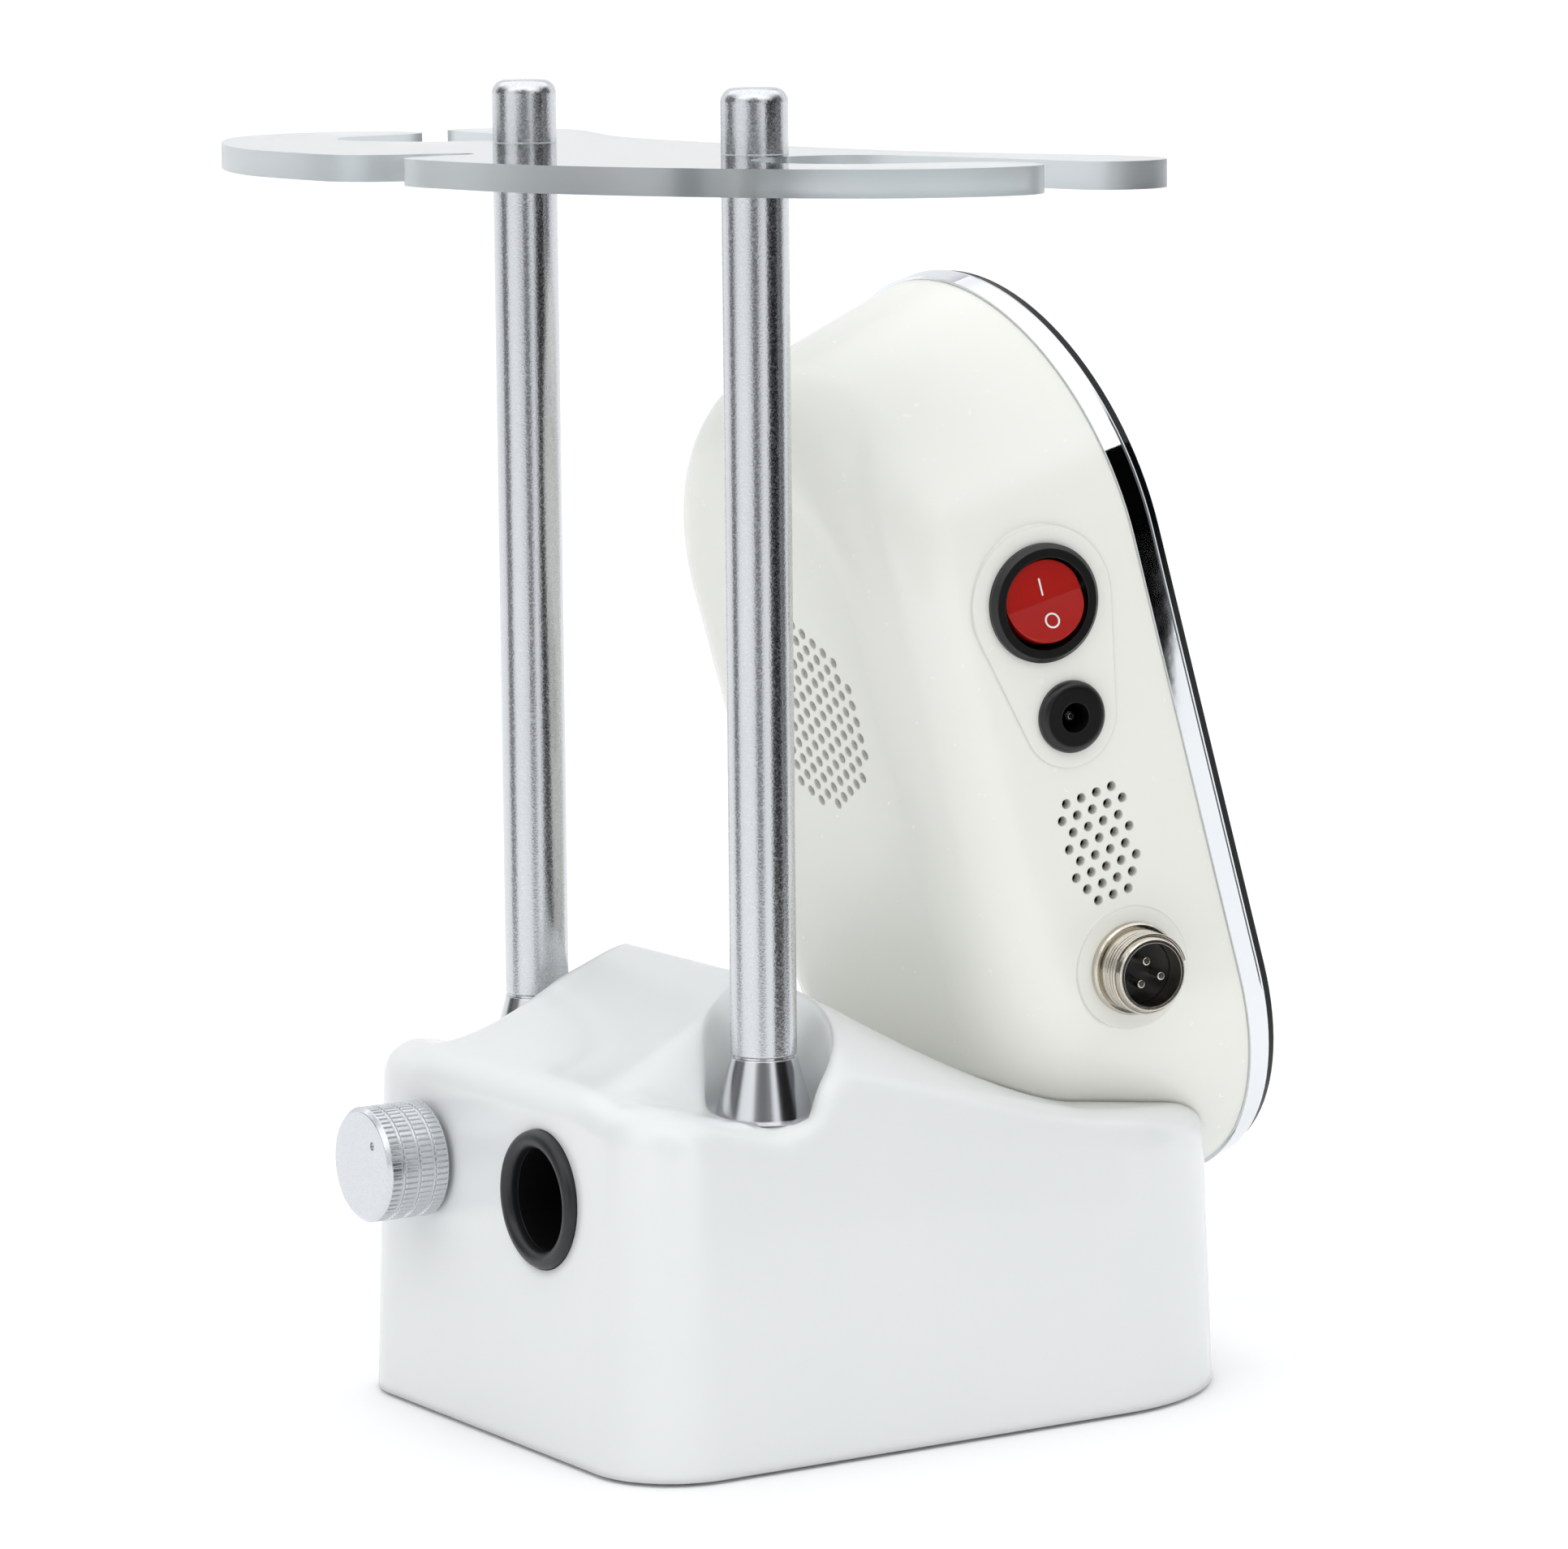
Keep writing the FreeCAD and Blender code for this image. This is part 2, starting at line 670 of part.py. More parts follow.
def drill(body, spots, radius, depth, lift, upward=False):
    """Round pockets cut down (or up) from a plane; the volume must fall."""
    before = body.Shape.Volume
    sketch = circle_sketch(body, spots, radius, lift)
    pocket = body.newObject("PartDesign::Pocket", body.Label + "_drill")
    pocket.Profile = sketch
    pocket.setExpression("Length", bound(depth))
    pocket.Reversed = upward
    DOC.recompute()
    if body.Shape.Volume > before - 1e-6:
        raise RuntimeError(body.Label + ": drill removed nothing")
    return pocket


def add_pad(body, loops, height, lift):
    sketch = new_sketch(body, "XY_Plane", lift)
    for loop in loops:
        draw_loop(sketch, loop)
    pad = body.newObject("PartDesign::Pad", body.Label + "_pad")
    pad.Profile = sketch
    pad.setExpression("Length", bound(height))
    DOC.recompute()
    return pad


def soften(body, base, radius, pick):
    """Fillet the edges of a feature that pick() selects."""
    names = ["Edge%d" % (i + 1) for i, edge in enumerate(base.Shape.Edges) if pick(edge)]
    fillet = body.newObject("PartDesign::Fillet", body.Label + "_soft")
    fillet.Base = (base, names)
    fillet.setExpression("Radius", bound(radius))
    DOC.recompute()
    return fillet


def copies(label, shape, places):
    """One node of several equal solids."""
    return feature(label, Part.makeCompound([placed(shape, place) for place in places]))


def screw_shape(length):
    """Pan-head screw, head above z = 0, with a cross recess."""
    head = Part.makeCylinder(val("screw_head_radius"), val("screw_head_thick"))
    rim = [e for e in head.Edges if e.CenterOfMass.z > val("screw_head_thick") - 1e-6]
    head = head.makeFillet(0.7, rim)
    screw = head.fuse(Part.makeCylinder(val("screw_radius"), length, Vector(0, 0, -length)))
    slot = Part.makeBox(2.6, 0.6, 1.0, Vector(-1.3, -0.3, val("screw_head_thick") - 0.9))
    cross = Part.makeBox(0.6, 2.6, 1.0, Vector(-0.3, -1.3, val("screw_head_thick") - 0.9))
    return screw.cut([slot, cross]).removeSplitter()


def upside(x, y, z):
    return Placement(Vector(x, y, z), Rotation(Vector(1, 0, 0), 180))


# ---------------------------------------------------------------- base parts

def foot_spots():
    back = val("base_back_y") - 18.0
    front = val("base_front_y") + 20.0
    return [(30.0, back), (-30.0, back), (26.0, front), (-26.0, front)]


def make_cover():
    body = padded("base_cover", [cover_loop("base_wall + 0.2 + cover_gap")], "cover_thick",
                  lift="base_lift + 0.3")
    bottom = "base_lift + 0.3"
    drill(body, cover_bosses(), "screw_head_radius + 0.3", "screw_head_thick + 0.1", bottom, True)
    drill(body, cover_bosses(), "screw_radius + screw_clear", "cover_thick", bottom, True)
    drill(body, foot_spots(), "foot_radius + 0.1", "foot_thick - base_lift - 0.3", bottom, True)
    return body


def make_base_inside():
    screw = screw_shape(9.0)
    head_z = val("base_lift") + 0.3 + val("screw_head_thick") + 0.1
    copies("cover_screws", screw, [upside(x, y, head_z) for x, y in cover_bosses()])
    foot = Part.makeCylinder(val("foot_radius"), val("foot_thick"))
    foot = foot.makeChamfer(0.3, [e for e in foot.Edges if e.CenterOfMass.z < 1e-6])
    copies("base_feet", foot, [at(x, y, 0) for x, y in foot_spots()])
    top = "base_lift + 0.3 + cover_thick"
    weight = padded("base_weight", [rectangle("weight_length/2", "weight_width/2")], "weight_thick",
                    lift=top)
    ahead = val("base_front_y") + 20.0 + val("foot_radius") + 4.0
    weight.Placement = at(0, ahead + val("weight_width") / 2.0, 0)
    spots = [(x, y - base_board_mid()) for x, y in base_board_spots()]
    board = padded("base_board", [rectangle("base_board_length/2", "base_board_width/2")], "board_thick",
                   lift=top + " + board_rise")
    drill(board, spots, "screw_radius + screw_clear", "board_thick", top + " + board_rise", True)
    board.Placement = at(0, base_board_mid(), 0)
    spacer = Part.makeCylinder(3.0, val("board_rise"))
    spacer = spacer.cut(Part.makeCylinder(val("screw_radius") + val("screw_clear"), val("board_rise")))
    level = number(top)
    copies("board_spacers", spacer, [at(x, y, level) for x, y in base_board_spots()])
    above = level + val("board_rise") + val("board_thick")
    copies("base_board_screws", screw_shape(val("board_rise") + val("board_thick") - 0.4),
           [at(x, y, above) for x, y in base_board_spots()])


def make_posts():
    foot = "seat_height"
    neck = "seat_height + ferrule_height"
    for side, x in zip(("right", "left"), post_xs()):
        place = at(x, val("post_y"), 0)
        turned("ferrule_" + side, [
            ("rod_radius + rod_clear", foot), ("ferrule_foot_radius", foot),
            ("ferrule_foot_radius", foot + " + 0.9"), ("post_radius", neck + " - ferrule_groove"),
            ("post_radius - 0.5", neck + " - ferrule_groove"), ("post_radius - 0.5", neck),
            ("rod_radius + rod_clear", neck)], place)
        turned("post_" + side, [
            ("post_bore", neck), ("post_radius - 0.2", neck), ("post_radius", neck + " + 0.2"),
            ("post_radius", "plate_bottom - 0.2"), ("post_radius - 0.2", "plate_bottom"),
            ("post_bore", "plate_bottom")], place)
        cap_foot = "plate_bottom + plate_thick"
        cap_top = cap_foot + " + cap_height"
        turned("cap_" + side, [
            ("rod_radius + 0.1", cap_foot), ("post_radius", cap_foot),
            ("post_radius", cap_top + " - cap_round", "cap_round"),
            ("post_radius - cap_round", cap_top), (0, cap_top),
            (0, cap_foot + " + cap_height - 3"),
            ("rod_radius + 0.1", cap_foot + " + cap_height - 3")], place)
        nut_top = "seat_height - base_wall - 4"
        turned("tie_rod_" + side, [
            (0, nut_top + " - nut_height - 2"), ("rod_radius - 0.5", nut_top + " - nut_height - 2"),
            ("rod_radius", nut_top + " - nut_height - 1.5"),
            ("rod_radius", cap_foot + " + cap_height - 4.5"),
            ("rod_radius - 0.5", cap_foot + " + cap_height - 4"),
            (0, cap_foot + " + cap_height - 4")], place)
    washer_top = val("seat_height") - val("base_wall") - 3.0
    washer = Part.makeCylinder(6.0, 1.0).cut(Part.makeCylinder(val("rod_radius") + 0.2, 1.0))
    copies("rod_washers", washer, [at(x, val("post_y"), washer_top - 1.0) for x in post_xs()])
    nut = hex_solid(val("nut_width"), val("nut_height"), val("rod_radius") + 0.02)
    copies("rod_nuts", nut, [at(x, val("post_y"), washer_top - 1.0 - val("nut_height")) for x in post_xs()])


def hex_solid(width, height, bore):
    corner = width / math.sqrt(3.0)
    pts = [Vector(corner * math.cos(math.radians(60 * i)), corner * math.sin(math.radians(60 * i)), 0)
           for i in range(7)]
    solid = prism(Part.makePolygon(pts), height)
    return solid.cut(Part.makeCylinder(bore, height))


def plate_points():
    """Half outline of the holder, from the notch at the back round to the front."""
    a = val("plate_half") / 124.0
    b = val("plate_back") / 58.0
    f = val("plate_front") / 44.0
    back = [(0, 36), (3.6, 39), (5.2, 47), (9, 55), (24, 58), (48, 56.5), (76, 48), (101, 35), (118, 20),
            (124, 5), (122, -8), (114, -13.5)]
    inner = [(105, -12.5), (99, -4), (96, 8), (87, 17), (74, 19), (62, 13), (56, 1), (59, -11), (72, -16.5),
             (92, -20.5), (108, -22.5)]
    front = [(117.5, -26), (118.5, -35), (111, -43), (97, -44), (80, -38.5),
             (56, -30), (28, -26.5), (0, -26)]
    pts = [(x * a, y * b) if y > 0 else (x * a, y * f) for x, y in back + inner + front]
    return pts


def make_plate():
    half = plate_points()
    ring = half + [(-x, y) for x, y in reversed(half[1:-1])]
    curve = Part.BSplineCurve()
    curve.interpolate([Vector(x, val("post_y") + y, 0) for x, y in ring], PeriodicFlag=True)
    plate = prism(Part.Wire(curve.toShape()), val("plate_thick"))
    holes = [cylinder(val("rod_radius") + 0.2, val("plate_thick"), at(x, val("post_y"), 0))
             for x in post_xs()]
    return feature("holder_plate", plate.cut(holes), at(0, 0, val("plate_bottom")))


def make_socket():
    place = along_y(val("socket_x"), socket_seat(), val("socket_z"))
    ring_w = "socket_ring_radius - socket_mouth"
    crown = "socket_ring_proud"
    turned("socket_ring", [
        ("socket_mouth", 0), ("socket_ring_radius", 0),
        ("socket_ring_radius", crown + " - (" + ring_w + ")/2", "(" + ring_w + ")/2"),
        ("(socket_ring_radius + socket_mouth)/2", crown, "(" + ring_w + ")/2"),
        ("socket_mouth", crown + " - (" + ring_w + ")/2")], place)
    turned("socket_cup", [
        (0, "0 - socket_depth - socket_cup_wall"),
        ("socket_mouth + socket_cup_wall", "0 - socket_depth - socket_cup_wall"),
        ("socket_mouth + socket_cup_wall", 0), ("socket_mouth", 0), ("socket_mouth", "0 - socket_depth/2"),
        ("socket_step", "0 - socket_depth/2"), ("socket_step", "0 - socket_depth"),
        (0, "0 - socket_depth")], place)
    turned("socket_contact", [
        ("socket_step - 1.2", "0 - socket_depth"), ("socket_step", "0 - socket_depth"),
        ("socket_step", "0 - socket_depth + 8"), ("socket_step - 1.2", "0 - socket_depth + 8")], place)
    turned("socket_pin", [
        (0, "0 - socket_depth"), (1.2, "0 - socket_depth"), (1.2, "0 - socket_depth + 9"),
        (0.5, "0 - socket_depth + 10"), (0, "0 - socket_depth + 10")], place)


def make_pot_and_knob():
    place = along_y(val("knob_x"), knob_wall(), val("knob_z"))
    rear = "0 - base_wall - 0.4"
    tail = rear + " - pot_length"
    bore = "pot_shaft_radius + pot_shaft_fit"
    turned("pot_body", [
        (0, tail), ("pot_radius", tail), ("pot_radius", rear), ("pot_bush_radius", rear),
        ("pot_bush_radius", 3.4), (bore, 3.4), (bore, tail + " + 1.5"), (0, tail + " + 1.5")], place)
    nut = hex_solid(11.0, 2.2, val("pot_bush_radius") + 0.02)
    feature("pot_nut", nut, place.multiply(at(0, 0, 0.7)))
    turned("pot_shaft", [
        (0, tail + " + 1.8"), ("pot_shaft_radius", tail + " + 1.8"),
        ("pot_shaft_radius", "knob_gap + knob_length - 3.2"), (0, "knob_gap + knob_length - 3.2")], place)
    make_knob(place)


def make_knob(place):
    """Turned knob with rings, flutes and a pointer dimple."""
    near = "knob_gap"
    far = "knob_gap + knob_length"
    loop = [("pot_shaft_radius + 0.02", near + " + 4"), (7.7, near + " + 4"), (7.7, near),
            ("knob_radius - 0.5", near), ("knob_radius", near + " + 0.5")]
    for i in (1, 2, 3):
        mid = near + " + knob_length*%d/4" % i
        loop += [("knob_radius", mid + " - 0.45"), ("knob_radius - knob_groove", mid + " - 0.25"),
                 ("knob_radius - knob_groove", mid + " + 0.25"), ("knob_radius", mid + " + 0.45")]
    loop += [("knob_radius", far + " - 0.8"), ("knob_radius - 0.8", far), (0, far),
             (0, far + " - 3"), ("pot_shaft_radius + 0.02", far + " - 3")]
    body = turned("knob", loop)
    dimple = val("knob_radius") * 0.39
    drill(body, [(-dimple, -dimple)], 0.8, 0.6, far)
    flute(body)
    body.Placement = place
    hole = Placement(Vector(3.2, 0, val("knob_gap") + 7.0), Rotation(Vector(0, 1, 0), 90))
    screw_hole(body)
    setscrew = Part.makeCylinder(1.5, val("knob_radius") - 3.2 - 2.2)
    feature("knob_setscrew", setscrew, place.multiply(hole))


def flute(body):
    """Fine straight flutes all round, as a polar pattern of one notch."""
    before = body.Shape.Volume
    sketch = new_sketch(body, "XY_Plane", "knob_gap + 0.6")
    draw_loop(sketch, [("knob_radius - knob_flute", 0), ("knob_radius + 0.3", "0 - 0.45"),
                       ("knob_radius + 0.3", 0.45)])
    notch = body.newObject("PartDesign::Pocket", "knob_notch")
    notch.Profile = sketch
    notch.setExpression("Length", bound("knob_length - 1.6"))
    notch.Reversed = True
    pattern = body.newObject("PartDesign::PolarPattern", "knob_flutes")
    pattern.Originals = [notch]
    pattern.Axis = (sketch, ["N_Axis"])
    pattern.Angle = 360.0
    pattern.Occurrences = 60
    body.Tip = pattern
    DOC.recompute()
    if body.Shape.Volume > before - 1.0:
        raise RuntimeError("knob flutes cut nothing")


def screw_hole(body):
    """Radial hole of the set screw, from the bore to the rim."""
    sketch = new_sketch(body, "YZ_Plane")
    geo = sketch.addGeometry(Part.Circle(Vector(0, val("knob_gap") + 7.0, 0), Vector(0, 0, 1), 1.55), False)
    sketch.addConstraint(sketcher("Radius", geo, 1.55))
    sketch.addConstraint(sketcher("PointOnObject", geo, 3, -2))
    index = sketch.addConstraint(sketcher("DistanceY", -1, 1, geo, 3, val("knob_gap") + 7.0))
    sketch.setExpression("Constraints[%d]" % index, bound("knob_gap + 7"))
    before = body.Shape.Volume
    pocket = body.newObject("PartDesign::Pocket", "knob_screw_hole")
    pocket.Profile = sketch
    pocket.setExpression("Length", bound("knob_radius + 1"))
    pocket.Reversed = True
    DOC.recompute()
    if body.Shape.Volume > before - 5.0:
        raise RuntimeError("knob screw hole cut nothing")


# ---------------------------------------------------------------- head parts

def lattice(rows, pitch, up):
    """Hole centres in rows of given counts, top row first."""
    spots = []
    step = pitch * math.sqrt(0.75)
    for k, count in enumerate(rows):
        y = up + ((len(rows) - 1) / 2.0 - k) * step
        for i in range(count):
            spots.append(((i - (count - 1) / 2.0) * pitch, y))
    return spots


def vent_room():
    """Plain wall between the connector's flange and the jack's."""
    return number(JACK) - val("jack_radius") - val("plug_t") - val("plug_flange")


def vent_middle():
    return val("plug_t") + val("plug_flange") + vent_room() * val("vent_share")


def vent_rows():
    """Holes in each row of the vent, as many rows as the wall has room for."""
    step = val("vent_pitch") * math.sqrt(0.75)
    below = vent_room() * min(val("vent_share"), 1.0 - val("vent_share"))
    reach = below - val("vent_hole") - val("vent_margin")
    count = int(2.0 * max(reach, 0.0) / step) + 1
    return [4, 5, 4, 5, 4, 5, 4, 3][:count]


def disc_lattice(radius, pitch, up):
    """Hexagonal lattice inside a circle."""
    spots = []
    step = pitch * math.sqrt(0.75)
    reach = int(radius / step) + 1
    for k in range(-reach, reach + 1):
        for i in range(-reach, reach + 1):
            y = (i + (0.5 if k % 2 else 0.0)) * pitch
            x = k * step
            if math.hypot(x, y) <= radius:
                spots.append((x, up + y))
    return spots


def switch_pad():
    """Flat pad round the switch and the jack, a hull of two circles."""
    gap = number(SWITCH) - number(JACK)
    r1 = val("switch_radius") + 3.5
    r2 = val("jack_radius") + 3.0
    ny = -(r1 - r2) / gap
    nx = math.sqrt(1.0 - ny * ny)
    wire = Part.Wire([
        Part.LineSegment(Vector(nx * r2, ny * r2, 0), Vector(nx * r1, gap + ny * r1, 0)).toShape(),
        Part.Arc(Vector(nx * r1, gap + ny * r1, 0), Vector(0, gap + r1, 0),
                 Vector(-nx * r1, gap + ny * r1, 0)).toShape(),
        Part.LineSegment(Vector(-nx * r1, gap + ny * r1, 0), Vector(-nx * r2, ny * r2, 0)).toShape(),
        Part.Arc(Vector(-nx * r2, ny * r2, 0), Vector(0, -r2, 0), Vector(nx * r2, ny * r2, 0)).toShape(),
    ])
    return prism(wire, 1.0 + val("pad_rise"))


def local_side(up, out=0.0, depth=None):
    """Side frame expressed in the head frame."""
    return head_frame().inverse().multiply(side_frame(up, depth, out))


def frame_screw_spots():
    low = val("head_radius")
    high = val("head_length") - val("head_radius")
    x = val("lug_x")
    out = val("lug_out")
    return [(x, low - out), (-x, low - out), (x, high + out), (-x, high + out)]


def make_housing():
    outer = head_solid(0.0)
    pads = [placed(switch_pad(), local_side(number(JACK), -1.0)),
            placed(Part.makeCylinder(val("plug_flange") + 3.0, 1.0 + val("pad_rise")),
                   local_side(val("plug_t"), -1.0))]
    inner = head_solid(-val("head_wall"), -val("front_thick") + 0.001)
    depth = val("head_depth")
    keep = [cylinder(4.0, depth, at(x, y, -val("front_thick") - depth)) for x, y in frame_screw_spots()]
    hollow = inner.cut(keep)
    shell = fuse_all([outer] + pads).cut(hollow)
    cuts = [placed(Part.makeCylinder(val("switch_barrel") + 0.15, 12.0), local_side(number(SWITCH), -6.0)),
            placed(Part.makeCylinder(val("jack_radius") - 1.4, 12.0), local_side(number(JACK), -6.0)),
            placed(Part.makeCylinder(val("plug_radius") - 0.8, 12.0), local_side(val("plug_t"), -6.0))]
    for x, y in lattice(vent_rows(), val("vent_pitch"), 0.0):
        place = local_side(vent_middle(), -5.0).multiply(at(x, y, 0))
        cuts.append(placed(Part.makeCylinder(val("vent_hole"), 8.0), place))
    back = -val("front_thick") - val("head_depth")
    for x, y in disc_lattice(val("grille_radius") - 1.0, val("grille_pitch"), number(GRILLE)):
        cuts.append(cylinder(val("grille_hole"), 6.0, at(x, y, back - 1.0)))
    for x, y in frame_screw_spots():
        cuts.append(cylinder(val("screw_radius") + val("screw_clear"), 16.0,
                             at(x, y, -val("front_thick") - 16.0)))
    return feature("rear_housing", shell.cut(Part.makeCompound(cuts)), head_frame())



def make_front():
    place = head_frame()
    trim = padded("chrome_trim", [stadium_loop("head_radius", LOW, HIGH),
                                  stadium_loop("head_radius - trim_width", LOW, HIGH)],
                  "front_thick - panel_thick", lift="0 - front_thick")
    top = -val("panel_thick")
    edge_r = val("head_radius") - 1.0

    def outer_front(edge):
        box = edge.BoundBox
        level = abs(box.ZMax - top) < 1e-4 and abs(box.ZMin - top) < 1e-4
        far = max(abs(box.XMin), abs(box.XMax)) > edge_r
        return level and far

    soften(trim, trim.Tip, 1.4, outer_front)
    trim.Placement = place
    window = rectangle("window_width/2", "window_height/2", y=WINDOW)
    ledge = rectangle("window_width/2 - 2", "window_height/2 - 2", y=WINDOW)
    panel = padded("front_panel", [stadium_loop("(head_radius - panel_inset)", LOW, HIGH), window],
                   "panel_thick", lift="0 - panel_thick")
    add_pad(panel, [stadium_loop("(head_radius - trim_width - 0.2)", LOW, HIGH), ledge], 2,
            "0 - panel_thick - 2")
    panel.Placement = place
    padded("display_window", [rectangle("window_width/2 - 0.1", "window_height/2 - 0.1", y=WINDOW)],
           "panel_thick - 0.1", place, lift="0 - panel_thick")
    module = rectangle("window_width/2 + 3", "window_height/2 + 3", y=WINDOW)
    padded("display_module", [module], 4, place, lift="0 - panel_thick - 6")
    hole = rectangle("window_width/2 + 3.3", "window_height/2 + 3.3", y=WINDOW)
    frame = padded("front_frame", [stadium_loop("(head_radius - trim_width - 0.3)", LOW, HIGH), hole],
                   "frame_thick", lift="0 - panel_thick - 2 - frame_thick")
    drill(frame, frame_screw_spots(), "screw_head_radius + 0.3", "screw_head_thick + 0.1",
          "0 - panel_thick - 2")
    drill(frame, frame_screw_spots(), "screw_radius + screw_clear", "frame_thick", "0 - panel_thick - 2")
    frame.Placement = place
    seat = -val("panel_thick") - 2.0 - val("screw_head_thick") - 0.1
    copies("frame_screws", screw_shape(10.0),
           [place.multiply(at(x, y, seat)) for x, y in frame_screw_spots()])


def board_spots():
    x = val("main_board_width") / 2.0 - 4.0
    y = val("window_height") / 2.0 + 8.0
    return [(sx * x, number(WINDOW) + sy * y) for sx in (-1, 1) for sy in (-1, 1)]


def make_boards():
    place = head_frame()
    back = "0 - panel_thick - 2 - frame_thick - standoff_length"
    board = padded("main_board", [rectangle("main_board_width/2", "main_board_height/2", y=WINDOW)],
                   "board_thick", lift=back + " - board_thick")
    drill(board, board_spots(), "screw_radius + screw_clear", "board_thick", back)
    board.Placement = place
    level = number(back)
    post = Part.makeCylinder(3.0, val("standoff_length"))
    post = post.cut(Part.makeCylinder(val("screw_radius") + val("screw_clear"), val("standoff_length")))
    copies("standoffs", post, [place.multiply(at(x, y, level)) for x, y in board_spots()])
    copies("main_board_screws", screw_shape(val("standoff_length") + val("board_thick") - 1.0),
           [place.multiply(upside(x, y, level - val("board_thick"))) for x, y in board_spots()])


def make_speaker():
    seat = "0 - front_thick - head_depth + head_wall"
    place = head_frame().multiply(at(0, number(GRILLE), 0))
    turned("speaker_frame", [
        (10, seat + " + 5"), ("speaker_radius - 3", seat + " + 2"), ("speaker_radius - 3", seat),
        ("speaker_radius", seat), ("speaker_radius", seat + " + 2.5"),
        ("speaker_radius - 2", seat + " + 3.5"),
        (13, seat + " + 7"), (13, seat + " + speaker_thick"), (0, seat + " + speaker_thick"),
        (0, seat + " + 8"), (10, seat + " + 8")], place)
    turned("speaker_cone", [
        (0, seat + " + 4.2"), (6, seat + " + 3.8"), ("speaker_radius - 4", seat + " + 0.6"),
        ("speaker_radius - 3.1", seat + " + 0.6"), ("speaker_radius - 3.1", seat + " + 1.5"),
        (9.8, seat + " + 4.8"), (9.8, seat + " + 7.9"), (8.8, seat + " + 7.9"), (8.8, seat + " + 5.2"),
        (0, seat + " + 5.4")], place)


def make_switch():
    place = side_frame(number(SWITCH), out=val("pad_rise"))
    mouth = "rocker_radius + rocker_gap + 0.3"
    body = turned("switch_body", [
        (0, "0 - switch_length"), ("switch_barrel", "0 - switch_length"), ("switch_barrel", 0),
        ("switch_radius", 0), ("switch_radius", "switch_proud - 0.9"),
        ("switch_radius - 0.9", "switch_proud"),
        (mouth, "switch_proud"), (mouth, "0 - 7.5"), (0, "0 - 7.5")])
    pivot_holes(body)
    body.Placement = place
    blade = Part.makeBox(0.8, 6.3, 7.5, Vector(-0.4, -3.15, -7.5))
    places = [place.multiply(at(x, 0, -val("switch_length"))) for x in (-5.0, 0.0, 5.0)]
    copies("switch_blades", blade, places)


def pivot_holes(body):
    """Cross hole that carries the pivot pin of the rocker."""
    sketch = new_sketch(body, "YZ_Plane", "0 - rocker_radius - rocker_gap - 1.1")
    geo = sketch.addGeometry(Part.Circle(Vector(0, -val("rocker_pivot"), 0), Vector(0, 0, 1),
                                         val("pin_radius") + 0.05), False)
    index = sketch.addConstraint(sketcher("Radius", geo, val("pin_radius") + 0.05))
    sketch.setExpression("Constraints[%d]" % index, bound("pin_radius + 0.05"))
    sketch.addConstraint(sketcher("PointOnObject", geo, 3, -2))
    index = sketch.addConstraint(sketcher("DistanceY", -1, 1, geo, 3, -val("rocker_pivot")))
    sketch.setExpression("Constraints[%d]" % index, bound("0 - rocker_pivot"))
    before = body.Shape.Volume
    pocket = body.newObject("PartDesign::Pocket", "pivot_hole")
    pocket.Profile = sketch
    pocket.setExpression("Length", bound("2*(rocker_radius + rocker_gap + 1.1)"))
    pocket.Reversed = True
    DOC.recompute()
    if body.Shape.Volume > before - 0.5:
        raise RuntimeError("pivot hole cut nothing")


def make_rocker():
    """Round rocker with two facets, resting with its upper half pressed in."""
    place = side_frame(number(SWITCH), out=val("pad_rise"))
    pivot = at(0, 0, -val("rocker_pivot"))
    tilt = Placement(Vector(), Rotation(Vector(1, 0, 0), -val("rocker_tilt")))
    radius = val("rocker_radius")
    rise = math.tan(math.radians(val("rocker_tilt")))
    crown = 2.4
    pts = [Vector(-12, -12, crown + 12 * rise), Vector(-12, 0, crown), Vector(-12, 12, crown + 12 * rise),
           Vector(-12, 12, -4.2), Vector(-12, -12, -4.2), Vector(-12, -12, crown + 12 * rise)]
    wedge = Part.Face(Part.makePolygon(pts)).extrude(Vector(24, 0, 0))
    round_bar = Part.makeCylinder(radius, 14.0, Vector(0, 0, -6.0))
    ball = Part.makeSphere(radius + 0.55)
    rocker = wedge.common(round_bar).common(ball)
    pin_hole = Part.makeCylinder(val("pin_radius") + 0.01, 24.0, Vector(-12, 0, 0), Vector(1, 0, 0))
    rocker = rocker.cut(pin_hole)
    feature("rocker", rocker, place.multiply(pivot).multiply(tilt))
    reach = radius + val("rocker_gap") + 0.9
    pin = Part.makeCylinder(val("pin_radius"), 2 * reach, Vector(-reach, 0, 0), Vector(1, 0, 0))
    feature("rocker_pin", pin, place.multiply(pivot))


def make_jack():
    place = side_frame(number(JACK), out=val("pad_rise"))
    barrel = "jack_radius - 1.5"
    turned("jack_body", [
        (0, "0 - jack_length"), (barrel, "0 - jack_length"), (barrel, 0), ("jack_radius", 0),
        ("jack_radius", 0.8, 1.6), ("jack_radius - 1.5", 2.0), ("jack_bore", 2.0),
        ("jack_bore", "0 - jack_length + 3"), (0, "0 - jack_length + 3")], place)
    turned("jack_pin", [
        (0, "0 - jack_length + 3"), (1.05, "0 - jack_length + 3"), (1.05, "0 - 0.4"),
        (0.55, 0.1), (0, 0.1)], place)
    nut = hex_solid(14.0, 2.2, val("jack_radius") - 1.48)
    feature("jack_nut", nut, place.multiply(at(0, 0, -val("pad_rise") - val("head_wall") - 2.3)))


